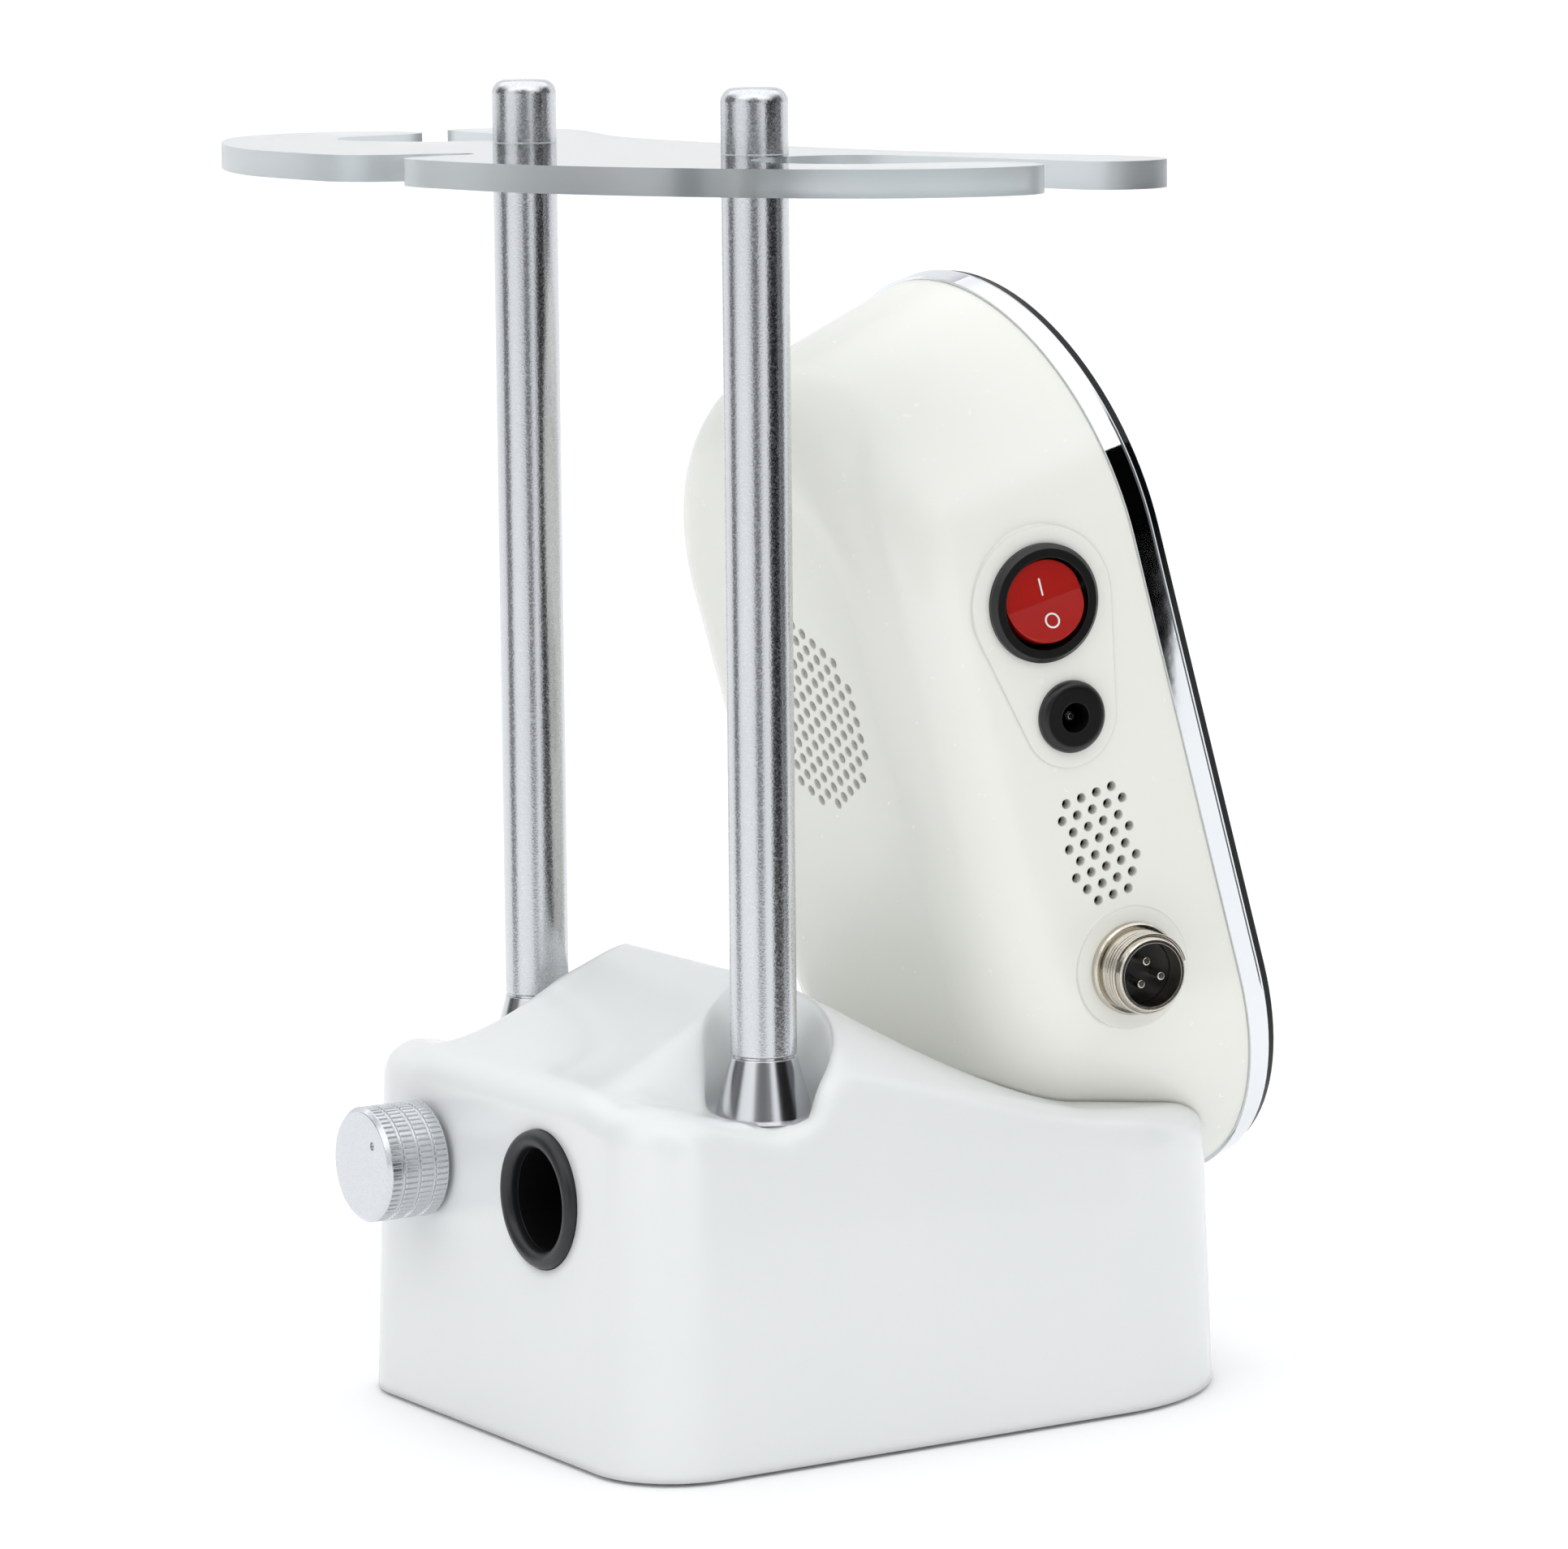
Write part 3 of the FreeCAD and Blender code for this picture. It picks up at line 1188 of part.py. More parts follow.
def make_plug():
    place = side_frame(val("plug_t"), out=val("pad_rise"))
    rear = "plug_radius - 0.95"
    loop = [("plug_radius - 2.6", "0 - plug_length"), (rear, "0 - plug_length"), (rear, 0),
            ("plug_flange", 0),
            ("plug_flange", 1.2), ("plug_flange - 0.4", 1.6), ("plug_radius - 0.45", 1.6)]
    z = 2.0
    for i in range(6):
        base = 2.0 + 0.75 * i
        loop += [("plug_radius - 0.45", base), ("plug_radius", base + 0.3), ("plug_radius", base + 0.42)]
        z = base + 0.72
    loop += [("plug_radius - 0.45", z), ("plug_radius - 0.45", "plug_proud - 1.1"),
             ("plug_radius - 0.8", "plug_proud - 0.3"), ("plug_radius - 1.1", "plug_proud"),
             ("plug_radius - 1.7", "plug_proud"), ("plug_radius - 1.7", 1.5), ("plug_radius - 2.6", 1.5)]
    turned("plug_shell", loop, place)
    padded("plug_insert", [circle_ring("plug_radius - 1.75")], "1.7", place, lift="1.5")
    core = Part.makeCylinder(val("plug_radius") - 2.65, val("plug_length") + 1.5,
                             Vector(0, 0, -val("plug_length")))
    feature("plug_core", core, place)
    pins = [at(2.6 * math.cos(math.radians(a)), 2.6 * math.sin(math.radians(a)), 3.2)
            for a in (90, 210, 330)]
    pin = Part.makeCylinder(0.85, 3.6)
    pin = pin.makeFillet(0.3, [e for e in pin.Edges if e.CenterOfMass.z > 3.5])
    copies("plug_pins", pin, [place.multiply(p) for p in pins])
    nut = hex_solid(17.0, 2.4, val("plug_radius") - 0.93)
    feature("plug_nut", nut, place.multiply(at(0, 0, -val("pad_rise") - val("head_wall") - 3.0)))


def circle_ring(radius):
    """Loop of a full circle as four quarter arcs."""
    minus = "0 - (%s)" % radius
    return [(radius, 0, radius), (0, radius, radius), (minus, 0, radius), (0, minus, radius)]


# ---------------------------------------------------------------- export

def tops():
    """Objects that stand for sub-parts: bodies and free features."""
    out = []
    for obj in DOC.Objects:
        if obj.TypeId in ("PartDesign::Body", "Part::Feature"):
            out.append(obj)
    return out


def check_and_export():
    for obj in DOC.Objects:
        if {"Invalid", "Error"} & set(obj.State):
            raise RuntimeError(obj.Name + " failed: " + str(obj.State))
    parts = tops()
    for obj in parts:
        if obj.Shape.isNull() or not obj.Shape.isValid() or obj.Shape.Volume <= 0:
            raise RuntimeError(obj.Label + " has a bad shape")
    os.makedirs("parts", exist_ok=True)
    for obj in parts:
        obj.Shape.exportStep("parts/" + obj.Label + ".step")
    print(len(parts), "sub-parts written")


def main():
    make_base_shell()
    make_cover()
    make_base_inside()
    make_posts()
    make_plate()
    make_socket()
    make_pot_and_knob()
    make_housing()
    make_front()
    make_boards()
    make_speaker()
    make_switch()
    make_rocker()
    make_jack()
    make_plug()
    DOC.recompute()
    check_and_export()


main()
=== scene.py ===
import json
import logging
import math
from dataclasses import dataclass
from enum import Enum
from typing import ClassVar

import bmesh
import bpy
from mathutils import Matrix, Vector


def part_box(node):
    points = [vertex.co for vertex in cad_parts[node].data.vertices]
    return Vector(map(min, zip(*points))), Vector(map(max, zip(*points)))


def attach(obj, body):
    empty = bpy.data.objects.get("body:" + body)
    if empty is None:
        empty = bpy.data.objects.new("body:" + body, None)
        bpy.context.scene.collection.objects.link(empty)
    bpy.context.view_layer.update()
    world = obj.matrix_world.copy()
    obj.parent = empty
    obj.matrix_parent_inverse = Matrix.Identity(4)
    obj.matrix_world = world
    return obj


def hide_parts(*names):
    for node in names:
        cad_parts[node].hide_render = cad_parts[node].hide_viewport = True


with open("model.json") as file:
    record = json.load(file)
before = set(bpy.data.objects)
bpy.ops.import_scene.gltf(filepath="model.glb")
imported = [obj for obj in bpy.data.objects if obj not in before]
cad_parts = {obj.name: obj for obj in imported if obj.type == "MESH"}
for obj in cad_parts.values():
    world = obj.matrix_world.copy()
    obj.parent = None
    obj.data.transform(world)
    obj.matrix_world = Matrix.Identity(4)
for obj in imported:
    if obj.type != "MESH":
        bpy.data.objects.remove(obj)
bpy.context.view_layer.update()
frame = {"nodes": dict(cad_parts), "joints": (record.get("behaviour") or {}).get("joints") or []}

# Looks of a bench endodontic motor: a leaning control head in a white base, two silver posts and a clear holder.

LOG = logging.getLogger("endodontic_motor")
MM = 0.001
CIRCLE = 2.0 * math.pi


class Pattern(Enum):
    """How a surface was made, which gives its fine relief."""

    MOULDED = "moulded"
    # Blasted work also gets a painted glint: its colour is lightened and darkened cell by cell.
    BLASTED = "blasted"
    TURNED = "turned"
    FIBRE = "fibre"


def linear(code: str) -> tuple[float, float, float, float]:
    """Turn an sRGB hex colour to linear values.

    Args:
        code: Six hex digits.

    Returns:
        Red, green, blue and one for alpha.
    """
    parts = [int(code[i:i + 2], 16) / 255.0 for i in (0, 2, 4)]
    flat = [c / 12.92 if c <= 0.04045 else ((c + 0.055) / 1.055) ** 2.4 for c in parts]
    return (flat[0], flat[1], flat[2], 1.0)


def add_node(tree: bpy.types.NodeTree, kind: str, values: dict | None = None, **settings: object) -> bpy.types.Node:
    """Add one node with its settings, values and links.

    Args:
        tree: Tree that gets the node.
        kind: The node's type.
        values: Inputs by name or number; a socket makes a link, and anything else is set on the input.
        **settings: Attributes of the node.

    Returns:
        The new node.
    """
    node = tree.nodes.new(kind)
    for key, value in settings.items():
        setattr(node, key, value)
    for key, value in (values or {}).items():
        if isinstance(value, bpy.types.NodeSocket):
            tree.links.new(value, node.inputs[key])
        else:
            node.inputs[key].default_value = value
    return node


@dataclass(frozen=True)
class Finish:
    """One real material and how its surface was made."""

    name: str
    colour: str
    shade: str
    roughness: float
    pattern: Pattern = Pattern.MOULDED
    grain_mm: float = 1.2
    depth_mm: float = 0.002
    spread: float = 0.04
    drift_mm: float = 40.0
    metallic: float = 0.0
    ior: float = 1.5
    coat: float = 0.0
    clear: float = 0.0
    scatter: float = 0.0
    edge_mm: float = 0.0
    cut_edge: str = ""
    cut_rough: float = 0.32
    shine: float = 0.5

    def place(self, tree: bpy.types.NodeTree) -> bpy.types.NodeSocket:
        """Give the coordinates that the pattern reads.

        Args:
            tree: The material's tree.

        Returns:
            Object coordinates in metres, kept to the height alone on turned work so that rings go round it.
        """
        coords = add_node(tree, "ShaderNodeTexCoord").outputs["Object"]
        if self.pattern is not Pattern.TURNED:
            return coords
        height = add_node(tree, "ShaderNodeVectorMath", {0: coords, 1: (0.0, 0.0, 1.0)}, operation="MULTIPLY")
        return height.outputs[0]

    def relief(self, tree: bpy.types.NodeTree, place: bpy.types.NodeSocket) -> bpy.types.NodeSocket:
        """Give the height of the fine relief, from 0 to 1.

        Args:
            tree: The material's tree.
            place: Coordinates from place().

        Returns:
            The height.
        """
        scale = 1.0 / (self.grain_mm * MM)
        if self.pattern is Pattern.BLASTED:
            cells = add_node(tree, "ShaderNodeTexVoronoi", {"Vector": place, "Scale": scale}, feature="SMOOTH_F1")
            return cells.outputs["Distance"]
        detail = 4.0 if self.pattern is Pattern.FIBRE else 2.0
        return add_node(tree, "ShaderNodeTexNoise", {"Vector": place, "Scale": scale, "Detail": detail}).outputs[0]

    def build(self) -> bpy.types.Material:
        """Make the material, or give the one made before.

        Returns:
            The material.
        """
        found = bpy.data.materials.get(self.name)
        if found:
            return found
        material = bpy.data.materials.new(self.name)
        material.use_nodes = True
        tree = material.node_tree
        shader = tree.nodes["Principled BSDF"]
        place = self.place(tree)
        height = self.relief(tree, place)
        drift = add_node(tree, "ShaderNodeTexNoise", {"Vector": place, "Scale": 1.0 / (self.drift_mm * MM)})
        mixed = add_node(tree, "ShaderNodeMix", {0: drift.outputs[0], 6: linear(self.colour), 7: linear(self.shade)},
                         data_type="RGBA")
        colour = mixed.outputs[2]
        # Painted glint: on blasted work the colour is lightened and darkened cell by cell, standing in for light
        # sparkling off the grain.
        if self.pattern is Pattern.BLASTED:
            painted_glint = add_node(tree, "ShaderNodeMapRange", {0: height, 3: 0.82, 4: 1.12}).outputs[0]
            colour = add_node(tree, "ShaderNodeVectorMath", {0: colour, 3: painted_glint}, operation="SCALE").outputs[0]
        if self.cut_edge:
            facing = add_node(tree, "ShaderNodeTexCoord").outputs["Normal"]
            level = add_node(tree, "ShaderNodeSeparateXYZ", {0: facing}).outputs[2]
            upright = add_node(tree, "ShaderNodeMath", {0: level}, operation="ABSOLUTE").outputs[0]
            side = add_node(tree, "ShaderNodeMapRange", {0: upright, 1: 0.5, 2: 0.8, 3: 1.0, 4: 0.0}).outputs[0]
            colour = add_node(tree, "ShaderNodeMix", {0: side, 6: colour, 7: linear(self.cut_edge)},
                              data_type="RGBA").outputs[2]
        tree.links.new(colour, shader.inputs["Base Color"])
        rough = add_node(tree, "ShaderNodeMapRange", {0: height, 3: max(self.roughness - self.spread, 0.0),
                                                     4: self.roughness + self.spread}).outputs[0]
        if self.cut_edge:
            rough = add_node(tree, "ShaderNodeMix", {0: side, 2: rough, 3: self.cut_rough}).outputs[0]
        tree.links.new(rough, shader.inputs["Roughness"])
        bump = add_node(tree, "ShaderNodeBump", {"Height": height, "Distance": self.depth_mm * MM, "Strength": 1.0})
        if self.edge_mm:
            soft = add_node(tree, "ShaderNodeBevel", {"Radius": self.edge_mm * MM}, samples=6)
            tree.links.new(soft.outputs[0], bump.inputs["Normal"])
        tree.links.new(bump.outputs[0], shader.inputs["Normal"])
        shader.inputs["Metallic"].default_value = self.metallic
        if not self.metallic:
            shader.inputs["IOR"].default_value = self.ior
            shader.inputs["Specular IOR Level"].default_value = self.shine
        shader.inputs["Coat Weight"].default_value = self.coat
        shader.inputs["Transmission Weight"].default_value = self.clear
        shader.inputs["Subsurface Weight"].default_value = self.scatter
        shader.inputs["Subsurface Scale"].default_value = 0.002
        material.diffuse_color = linear(self.colour)
        return material


# Injection-moulded ABS, polished tool: clean white with a soft gloss and the faintest unevenness. Its edge_mm
# rounds the look of the edges in shading only, and the mesh keeps its own edges.
WHITE_ABS = Finish("injection_moulded_white_abs", "E9EAEA", "E5E7E7", 0.24, grain_mm=2.4, depth_mm=0.004,
                   spread=0.03, ior=1.53, coat=0.2, edge_mm=3.0)
# The head's ABS is pigmented warmer, a pale cream, from the same kind of polished tool.
IVORY_ABS = Finish("injection_moulded_ivory_abs", "F1F1EA", "EDEDE5", 0.26, grain_mm=2.4, depth_mm=0.004,
                   spread=0.03, ior=1.53, coat=0.2, edge_mm=0.5)
# Grey ABS, lightly textured, for the base's underside.
GREY_ABS = Finish("moulded_grey_abs", "8A8D90", "7C7F82", 0.5, grain_mm=0.5, depth_mm=0.03, ior=1.53)
# Bead-blasted and clear anodised aluminium: a fine grain over a satin metal, whose sparkle comes partly from the
# bumped grain and partly from a glint painted into the colour. The real grain of about
# 0.1 mm is too fine to show, so it is drawn at 0.36 mm.
BLASTED = Finish("bead_blasted_anodised_aluminium", "DCDEE1", "D2D4D7", 0.26, Pattern.BLASTED, grain_mm=0.36,
                 depth_mm=0.016, spread=0.09, metallic=1.0, edge_mm=0.3)
# Turned aluminium, bright: rings from the lathe tool about the post.
TURNED = Finish("lathe_turned_aluminium", "DDDEE0", "D0D2D5", 0.19, Pattern.TURNED, grain_mm=0.35, depth_mm=0.0015,
                spread=0.04, metallic=1.0, edge_mm=0.4)
# The knob's aluminium: a finer blasted grain than the posts, drawn at 0.22 mm so that it shows.
KNOB_METAL = Finish("clear_anodised_knob_aluminium", "DFE1E4", "D6D8DC", 0.22, Pattern.BLASTED, grain_mm=0.22,
                    depth_mm=0.003, spread=0.05, metallic=1.0, edge_mm=0.25)
# Chromium plating over ABS: a mirror with the plating's slight waviness.
CHROME = Finish("chromium_plated_abs", "EBEDF0", "E3E6EA", 0.04, grain_mm=5.0, depth_mm=0.004, spread=0.02,
                metallic=1.0)
# Nickel plating on a machined brass connector: warmer than chrome, with tool marks.
NICKEL = Finish("nickel_plated_brass", "D9D3C8", "CBC4B8", 0.17, Pattern.BLASTED, grain_mm=0.25, depth_mm=0.004,
                spread=0.06, metallic=1.0, edge_mm=0.15)
# Cast acrylic sheet, sawn to shape: clear faces, and cut edges that are left satin and pale grey.
ACRYLIC = Finish("cast_clear_acrylic", "FCFDFD", "F8FBFB", 0.02, grain_mm=3.0, depth_mm=0.002, spread=0.01,
                 ior=1.49, clear=1.0, cut_edge="D3D8DA")
# Black rubber, moulded: nearly matt with a dull bloom.
RUBBER = Finish("moulded_black_rubber", "15161A", "1B1C20", 0.42, grain_mm=0.6, depth_mm=0.01, spread=0.08, ior=1.52)
# Black nylon of switch and jack: smooth with a soft gloss.
BLACK_NYLON = Finish("moulded_black_nylon", "0B0B0C", "101011", 0.36, grain_mm=0.9, depth_mm=0.006, spread=0.06,
                     ior=1.53, edge_mm=0.25)
# Black back-painted acrylic front: deep gloss, with its reflection held down as by a coated cover.
BLACK_GLOSS = Finish("back_painted_black_acrylic", "08090B", "0B0C0F", 0.06, grain_mm=6.0, depth_mm=0.002,
                     spread=0.02, ior=1.49, shine=0.3)
# Cover glass of the display, darker than its surround when it is off.
DISPLAY_GLASS = Finish("display_cover_glass", "05070A", "070A0E", 0.03, grain_mm=8.0, depth_mm=0.001, spread=0.01,
                       ior=1.52, shine=0.25)
# Translucent red polycarbonate of the lit rocker: colour comes from within.
RED_LENS = Finish("translucent_red_polycarbonate", "C01A10", "98120B", 0.2, grain_mm=0.8, depth_mm=0.008,
                  spread=0.04, ior=1.58, coat=0.1, scatter=0.1, edge_mm=0.3)
# Pad-printed white ink.
WHITE_INK = Finish("pad_printed_white_ink", "F2F2F2", "E6E6E6", 0.55, grain_mm=0.3, depth_mm=0.004, ior=1.5)
# Zinc-plated steel of nuts, washers and rods.
ZINC = Finish("zinc_plated_steel", "C3C6C8", "B3B7BA", 0.32, grain_mm=0.4, depth_mm=0.01, metallic=1.0)
# Mild steel plate, blackened, used as ballast.
STEEL = Finish("mild_steel_plate", "6F7275", "616467", 0.45, grain_mm=0.8, depth_mm=0.02, metallic=1.0)
# Glass-fibre board under green solder mask, with the weave just showing.
BOARD = Finish("green_circuit_board", "1F5B3A", "1A4F32", 0.35, Pattern.FIBRE, grain_mm=0.5, depth_mm=0.01, ior=1.55)
# Turned brass of standoffs and spacers.
BRASS = Finish("turned_brass", "C9A45A", "B8934A", 0.28, grain_mm=0.5, depth_mm=0.008, metallic=1.0)
# Pressed paper pulp of the loudspeaker's cone.
PAPER = Finish("pressed_paper_cone", "2B2A28", "34322F", 0.85, Pattern.FIBRE, grain_mm=0.7, depth_mm=0.04, ior=1.45)
# Soft rubber of the feet.
FOOT = Finish("moulded_foot_rubber", "2C2E31", "34363A", 0.6, grain_mm=0.4, depth_mm=0.02, ior=1.52)


@dataclass(frozen=True)
class Seat:
    """A place on the object with three directions of its own."""

    origin: Vector
    across: Vector
    up: Vector
    out: Vector

    def matrix(self) -> Matrix:
        """Give the matrix from the seat's own frame to the row frame."""
        turn = Matrix((self.across, self.up, self.out)).transposed()
        return Matrix.Translation(self.origin) @ turn.to_4x4()


def middle(node: str) -> Vector:
    """Give the middle of a node's box.

    Args:
        node: The node's name.

    Returns:
        The middle, in metres.
    """
    low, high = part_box(node)
    return (low + high) / 2.0


def head_seat() -> Seat:
    """Give the front face's own frame, from the black panel's largest flat.

    Returns:
        The frame, with out away from the panel.
    """
    mesh = frame["nodes"]["front_panel"].data
    sums: dict[tuple[float, float, float], float] = {}
    for face in mesh.polygons:
        key = tuple(round(c, 3) for c in face.normal)
        if face.normal.y < -0.5:
            sums[key] = sums.get(key, 0.0) + face.area
    out = Vector(max(sums, key=sums.get)).normalized()
    up = out.cross(Vector((1.0, 0.0, 0.0))).normalized()
    reach = max((v.co.dot(out) for v in mesh.vertices))
    centre = middle("front_panel")
    centre = centre + out * (reach - centre.dot(out))
    return Seat(centre, Vector((1.0, 0.0, 0.0)), up, out)


def side_seat(node: str) -> Seat:
    """Give the frame of a round fitting on the head's side.

    Args:
        node: A fitting that is round about its own axis.

    Returns:
        Its frame, with across to the front of the head.
    """
    across = Vector(next(j["axis"] for j in frame["joints"] if j["name"] == "rocker_tilt")).normalized()
    up = head_seat().up
    return Seat(middle(node), across, up, across.cross(up).normalized())


def islands(node: str) -> list[list[Vector]]:
    """Split a node's mesh to its separate solids.

    Args:
        node: The node's name.

    Returns:
        The corner points of each solid.
    """
    work = bmesh.new()
    work.from_mesh(frame["nodes"][node].data)
    bmesh.ops.remove_doubles(work, verts=work.verts, dist=1e-6)
    seen: set[int] = set()
    groups: list[list[Vector]] = []
    work.verts.ensure_lookup_table()
    for start in work.verts:
        if start.index in seen:
            continue
        stack, points = [start], []
        seen.add(start.index)
        while stack:
            vert = stack.pop()
            points.append(vert.co.copy())
            for edge in vert.link_edges:
                other = edge.other_vert(vert)
                if other.index not in seen:
                    seen.add(other.index)
                    stack.append(other)
        groups.append(points)
    work.free()
    return groups


def wear(name: str, finish: Finish) -> None:
    """Dress one carried-over CAD node.

    Args:
        name: The node's name.
        finish: Its finish.
    """
    node = frame["nodes"][name]
    if not node.data.materials:
        node.data.materials.append(finish.build())
    for slot in node.material_slots:
        slot.material = finish.build()
    LOG.info("dressed %s in %s", name, finish.name)


def make_object(name: str, mesh: bpy.types.Mesh, finish: Finish, body: str) -> bpy.types.Object:
    """Put a finished mesh on the object.

    Args:
        name: The piece's name.
        mesh: Its mesh, in the row frame.
        finish: Its finish.
        body: The CAD body that it moves with.

    Returns:
        The new object.
    """
    piece = bpy.data.objects.new(name, mesh)
    bpy.context.scene.collection.objects.link(piece)
    mesh.materials.clear()
    mesh.materials.append(finish.build())
    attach(piece, body)
    LOG.info("%s: %d faces on %s", name, len(mesh.polygons), body)
    return piece


def mesh_from(work: bmesh.types.BMesh, name: str, seat: Seat | None = None, smooth: float = 35.0) -> bpy.types.Mesh:
    """Close a bmesh to a mesh with outward faces.

    Args:
        work: The bmesh, freed afterwards.
        name: The mesh's name.
        seat: The frame that it was drawn in, or none for the row frame.
        smooth: Edges that turn more than this many degrees stay sharp.

    Returns:
        The mesh, in the row frame.
    """
    bmesh.ops.remove_doubles(work, verts=work.verts, dist=1e-7)
    if seat:
        bmesh.ops.transform(work, matrix=seat.matrix(), verts=work.verts)
    bmesh.ops.recalc_face_normals(work, faces=work.faces)
    for face in work.faces:
        face.smooth = True
    for edge in work.edges:
        edge.smooth = len(edge.link_faces) == 2 and edge.calc_face_angle(0.0) < math.radians(smooth)
    mesh = bpy.data.meshes.new(name)
    work.to_mesh(mesh)
    work.free()
    return mesh


def lathe(profile: list[tuple[float, float]], name: str, seat: Seat, steps: int = 96) -> bpy.types.Mesh:
    """Turn a closed profile about the seat's outward axis.

    Args:
        profile: Radius and height in millimetres, round the section.
        name: The mesh's name.
        seat: Where the axis stands.
        steps: Faces round the turn.

    Returns:
        The turned mesh.
    """
    work = bmesh.new()
    rings = []
    for k in range(steps):
        angle = CIRCLE * k / steps
        rings.append([work.verts.new((r * MM * math.cos(angle), r * MM * math.sin(angle), z * MM))
                      for r, z in profile])
    for k in range(steps):
        here, there = rings[k], rings[(k + 1) % steps]
        for i in range(len(profile)):
            j = (i + 1) % len(profile)
            corners = [here[i], there[i], there[j], here[j]]
            if profile[i][0] == 0.0 and profile[j][0] == 0.0:
                continue
            work.faces.new(corners)
    bmesh.ops.remove_doubles(work, verts=work.verts, dist=1e-7)
    bmesh.ops.dissolve_degenerate(work, edges=work.edges, dist=1e-8)
    return mesh_from(work, name, seat)


def tip_of(node: str, seat: Seat) -> float:
    """Measure how far a node reaches out from a seat.

    Args:
        node: The node's name.
        seat: The seat that it is measured from.

    Returns:
        Its highest reach along the seat's outward axis, in millimetres.
    """
    return max((v.co - seat.origin).dot(seat.out) for v in frame["nodes"][node].data.vertices) / MM


def new_tree(name: str, sizes: dict[str, float], triples: dict[str, tuple]) -> bpy.types.NodeTree:
    """Start a geometry node tree with named inputs.

    Args:
        name: The tree's name.
        sizes: Numbers by input name.
        triples: Vectors by input name.

    Returns:
        The tree, with its inputs and one geometry output.
    """
    tree = bpy.data.node_groups.new(name, "GeometryNodeTree")
    tree.interface.new_socket("Geometry", in_out="INPUT", socket_type="NodeSocketGeometry")
    for label, value in sizes.items():
        kind = "NodeSocketInt" if isinstance(value, int) else "NodeSocketFloat"
        tree.interface.new_socket(label, in_out="INPUT", socket_type=kind)
    for label in triples:
        tree.interface.new_socket(label, in_out="INPUT", socket_type="NodeSocketVector")
    tree.interface.new_socket("Finish", in_out="INPUT", socket_type="NodeSocketMaterial")
    tree.interface.new_socket("Geometry", in_out="OUTPUT", socket_type="NodeSocketGeometry")
    return tree


def end_tree(tree: bpy.types.NodeTree, source: bpy.types.NodeSocket, given: bpy.types.Node) -> None:
    """Realise what the tree makes, dress it and send it out.

    Args:
        tree: The tree.
        source: The geometry made.
        given: The tree's input node.
    """
    real = add_node(tree, "GeometryNodeRealizeInstances", {0: source})
    dressed = add_node(tree, "GeometryNodeSetMaterial", {"Geometry": real.outputs[0],
                                                        "Material": given.outputs["Finish"]})
    add_node(tree, "NodeGroupOutput", {0: dressed.outputs[0]})


def bake_tree(tree: bpy.types.NodeTree, points: list[Vector], values: dict[str, object],
              name: str) -> bpy.types.Mesh:
    """Run a tree over points and keep the result as a plain mesh.

    Args:
        tree: The tree.
        points: Points that carry the copies.
        values: Values by input name.
        name: The new mesh's name.

    Returns:
        The plain mesh.
    """
    seed_mesh = bpy.data.meshes.new(name + "_points")
    seed_mesh.from_pydata(points, [], [])
    carrier = bpy.data.objects.new(name + "_carrier", seed_mesh)
    bpy.context.scene.collection.objects.link(carrier)
    modifier = carrier.modifiers.new("make", "NODES")
    modifier.node_group = tree
    for item in tree.interface.items_tree:
        if item.item_type == "SOCKET" and item.in_out == "INPUT" and item.name in values:
            modifier[item.identifier] = values[item.name]
    graph = bpy.context.evaluated_depsgraph_get()
    mesh = bpy.data.meshes.new_from_object(carrier.evaluated_get(graph))
    carrier.modifiers.clear()
    bpy.data.objects.remove(carrier)
    mesh.name = name
    if not mesh.polygons:
        raise RuntimeError(name + " came out empty")
    return mesh


def plate(outlines: list[list[tuple[float, float]]], thick: float, name: str, seat: Seat) -> bpy.types.Mesh:
    """Raise flat outlines to thin plates.

    Args:
        outlines: Closed outlines in millimetres.
        thick: Thickness in millimetres.
        name: The mesh's name.
        seat: The frame that they lie in.

    Returns:
        The mesh.
    """
    work = bmesh.new()
    for outline in outlines:
        low = [work.verts.new((x * MM, y * MM, -thick * MM / 2.0)) for x, y in outline]
        high = [work.verts.new((x * MM, y * MM, thick * MM / 2.0)) for x, y in outline]
        work.faces.new(low)
        work.faces.new(high)
        for i in range(len(outline)):
            j = (i + 1) % len(outline)
            work.faces.new((low[i], low[j], high[j], high[i]))
    return mesh_from(work, name, seat)


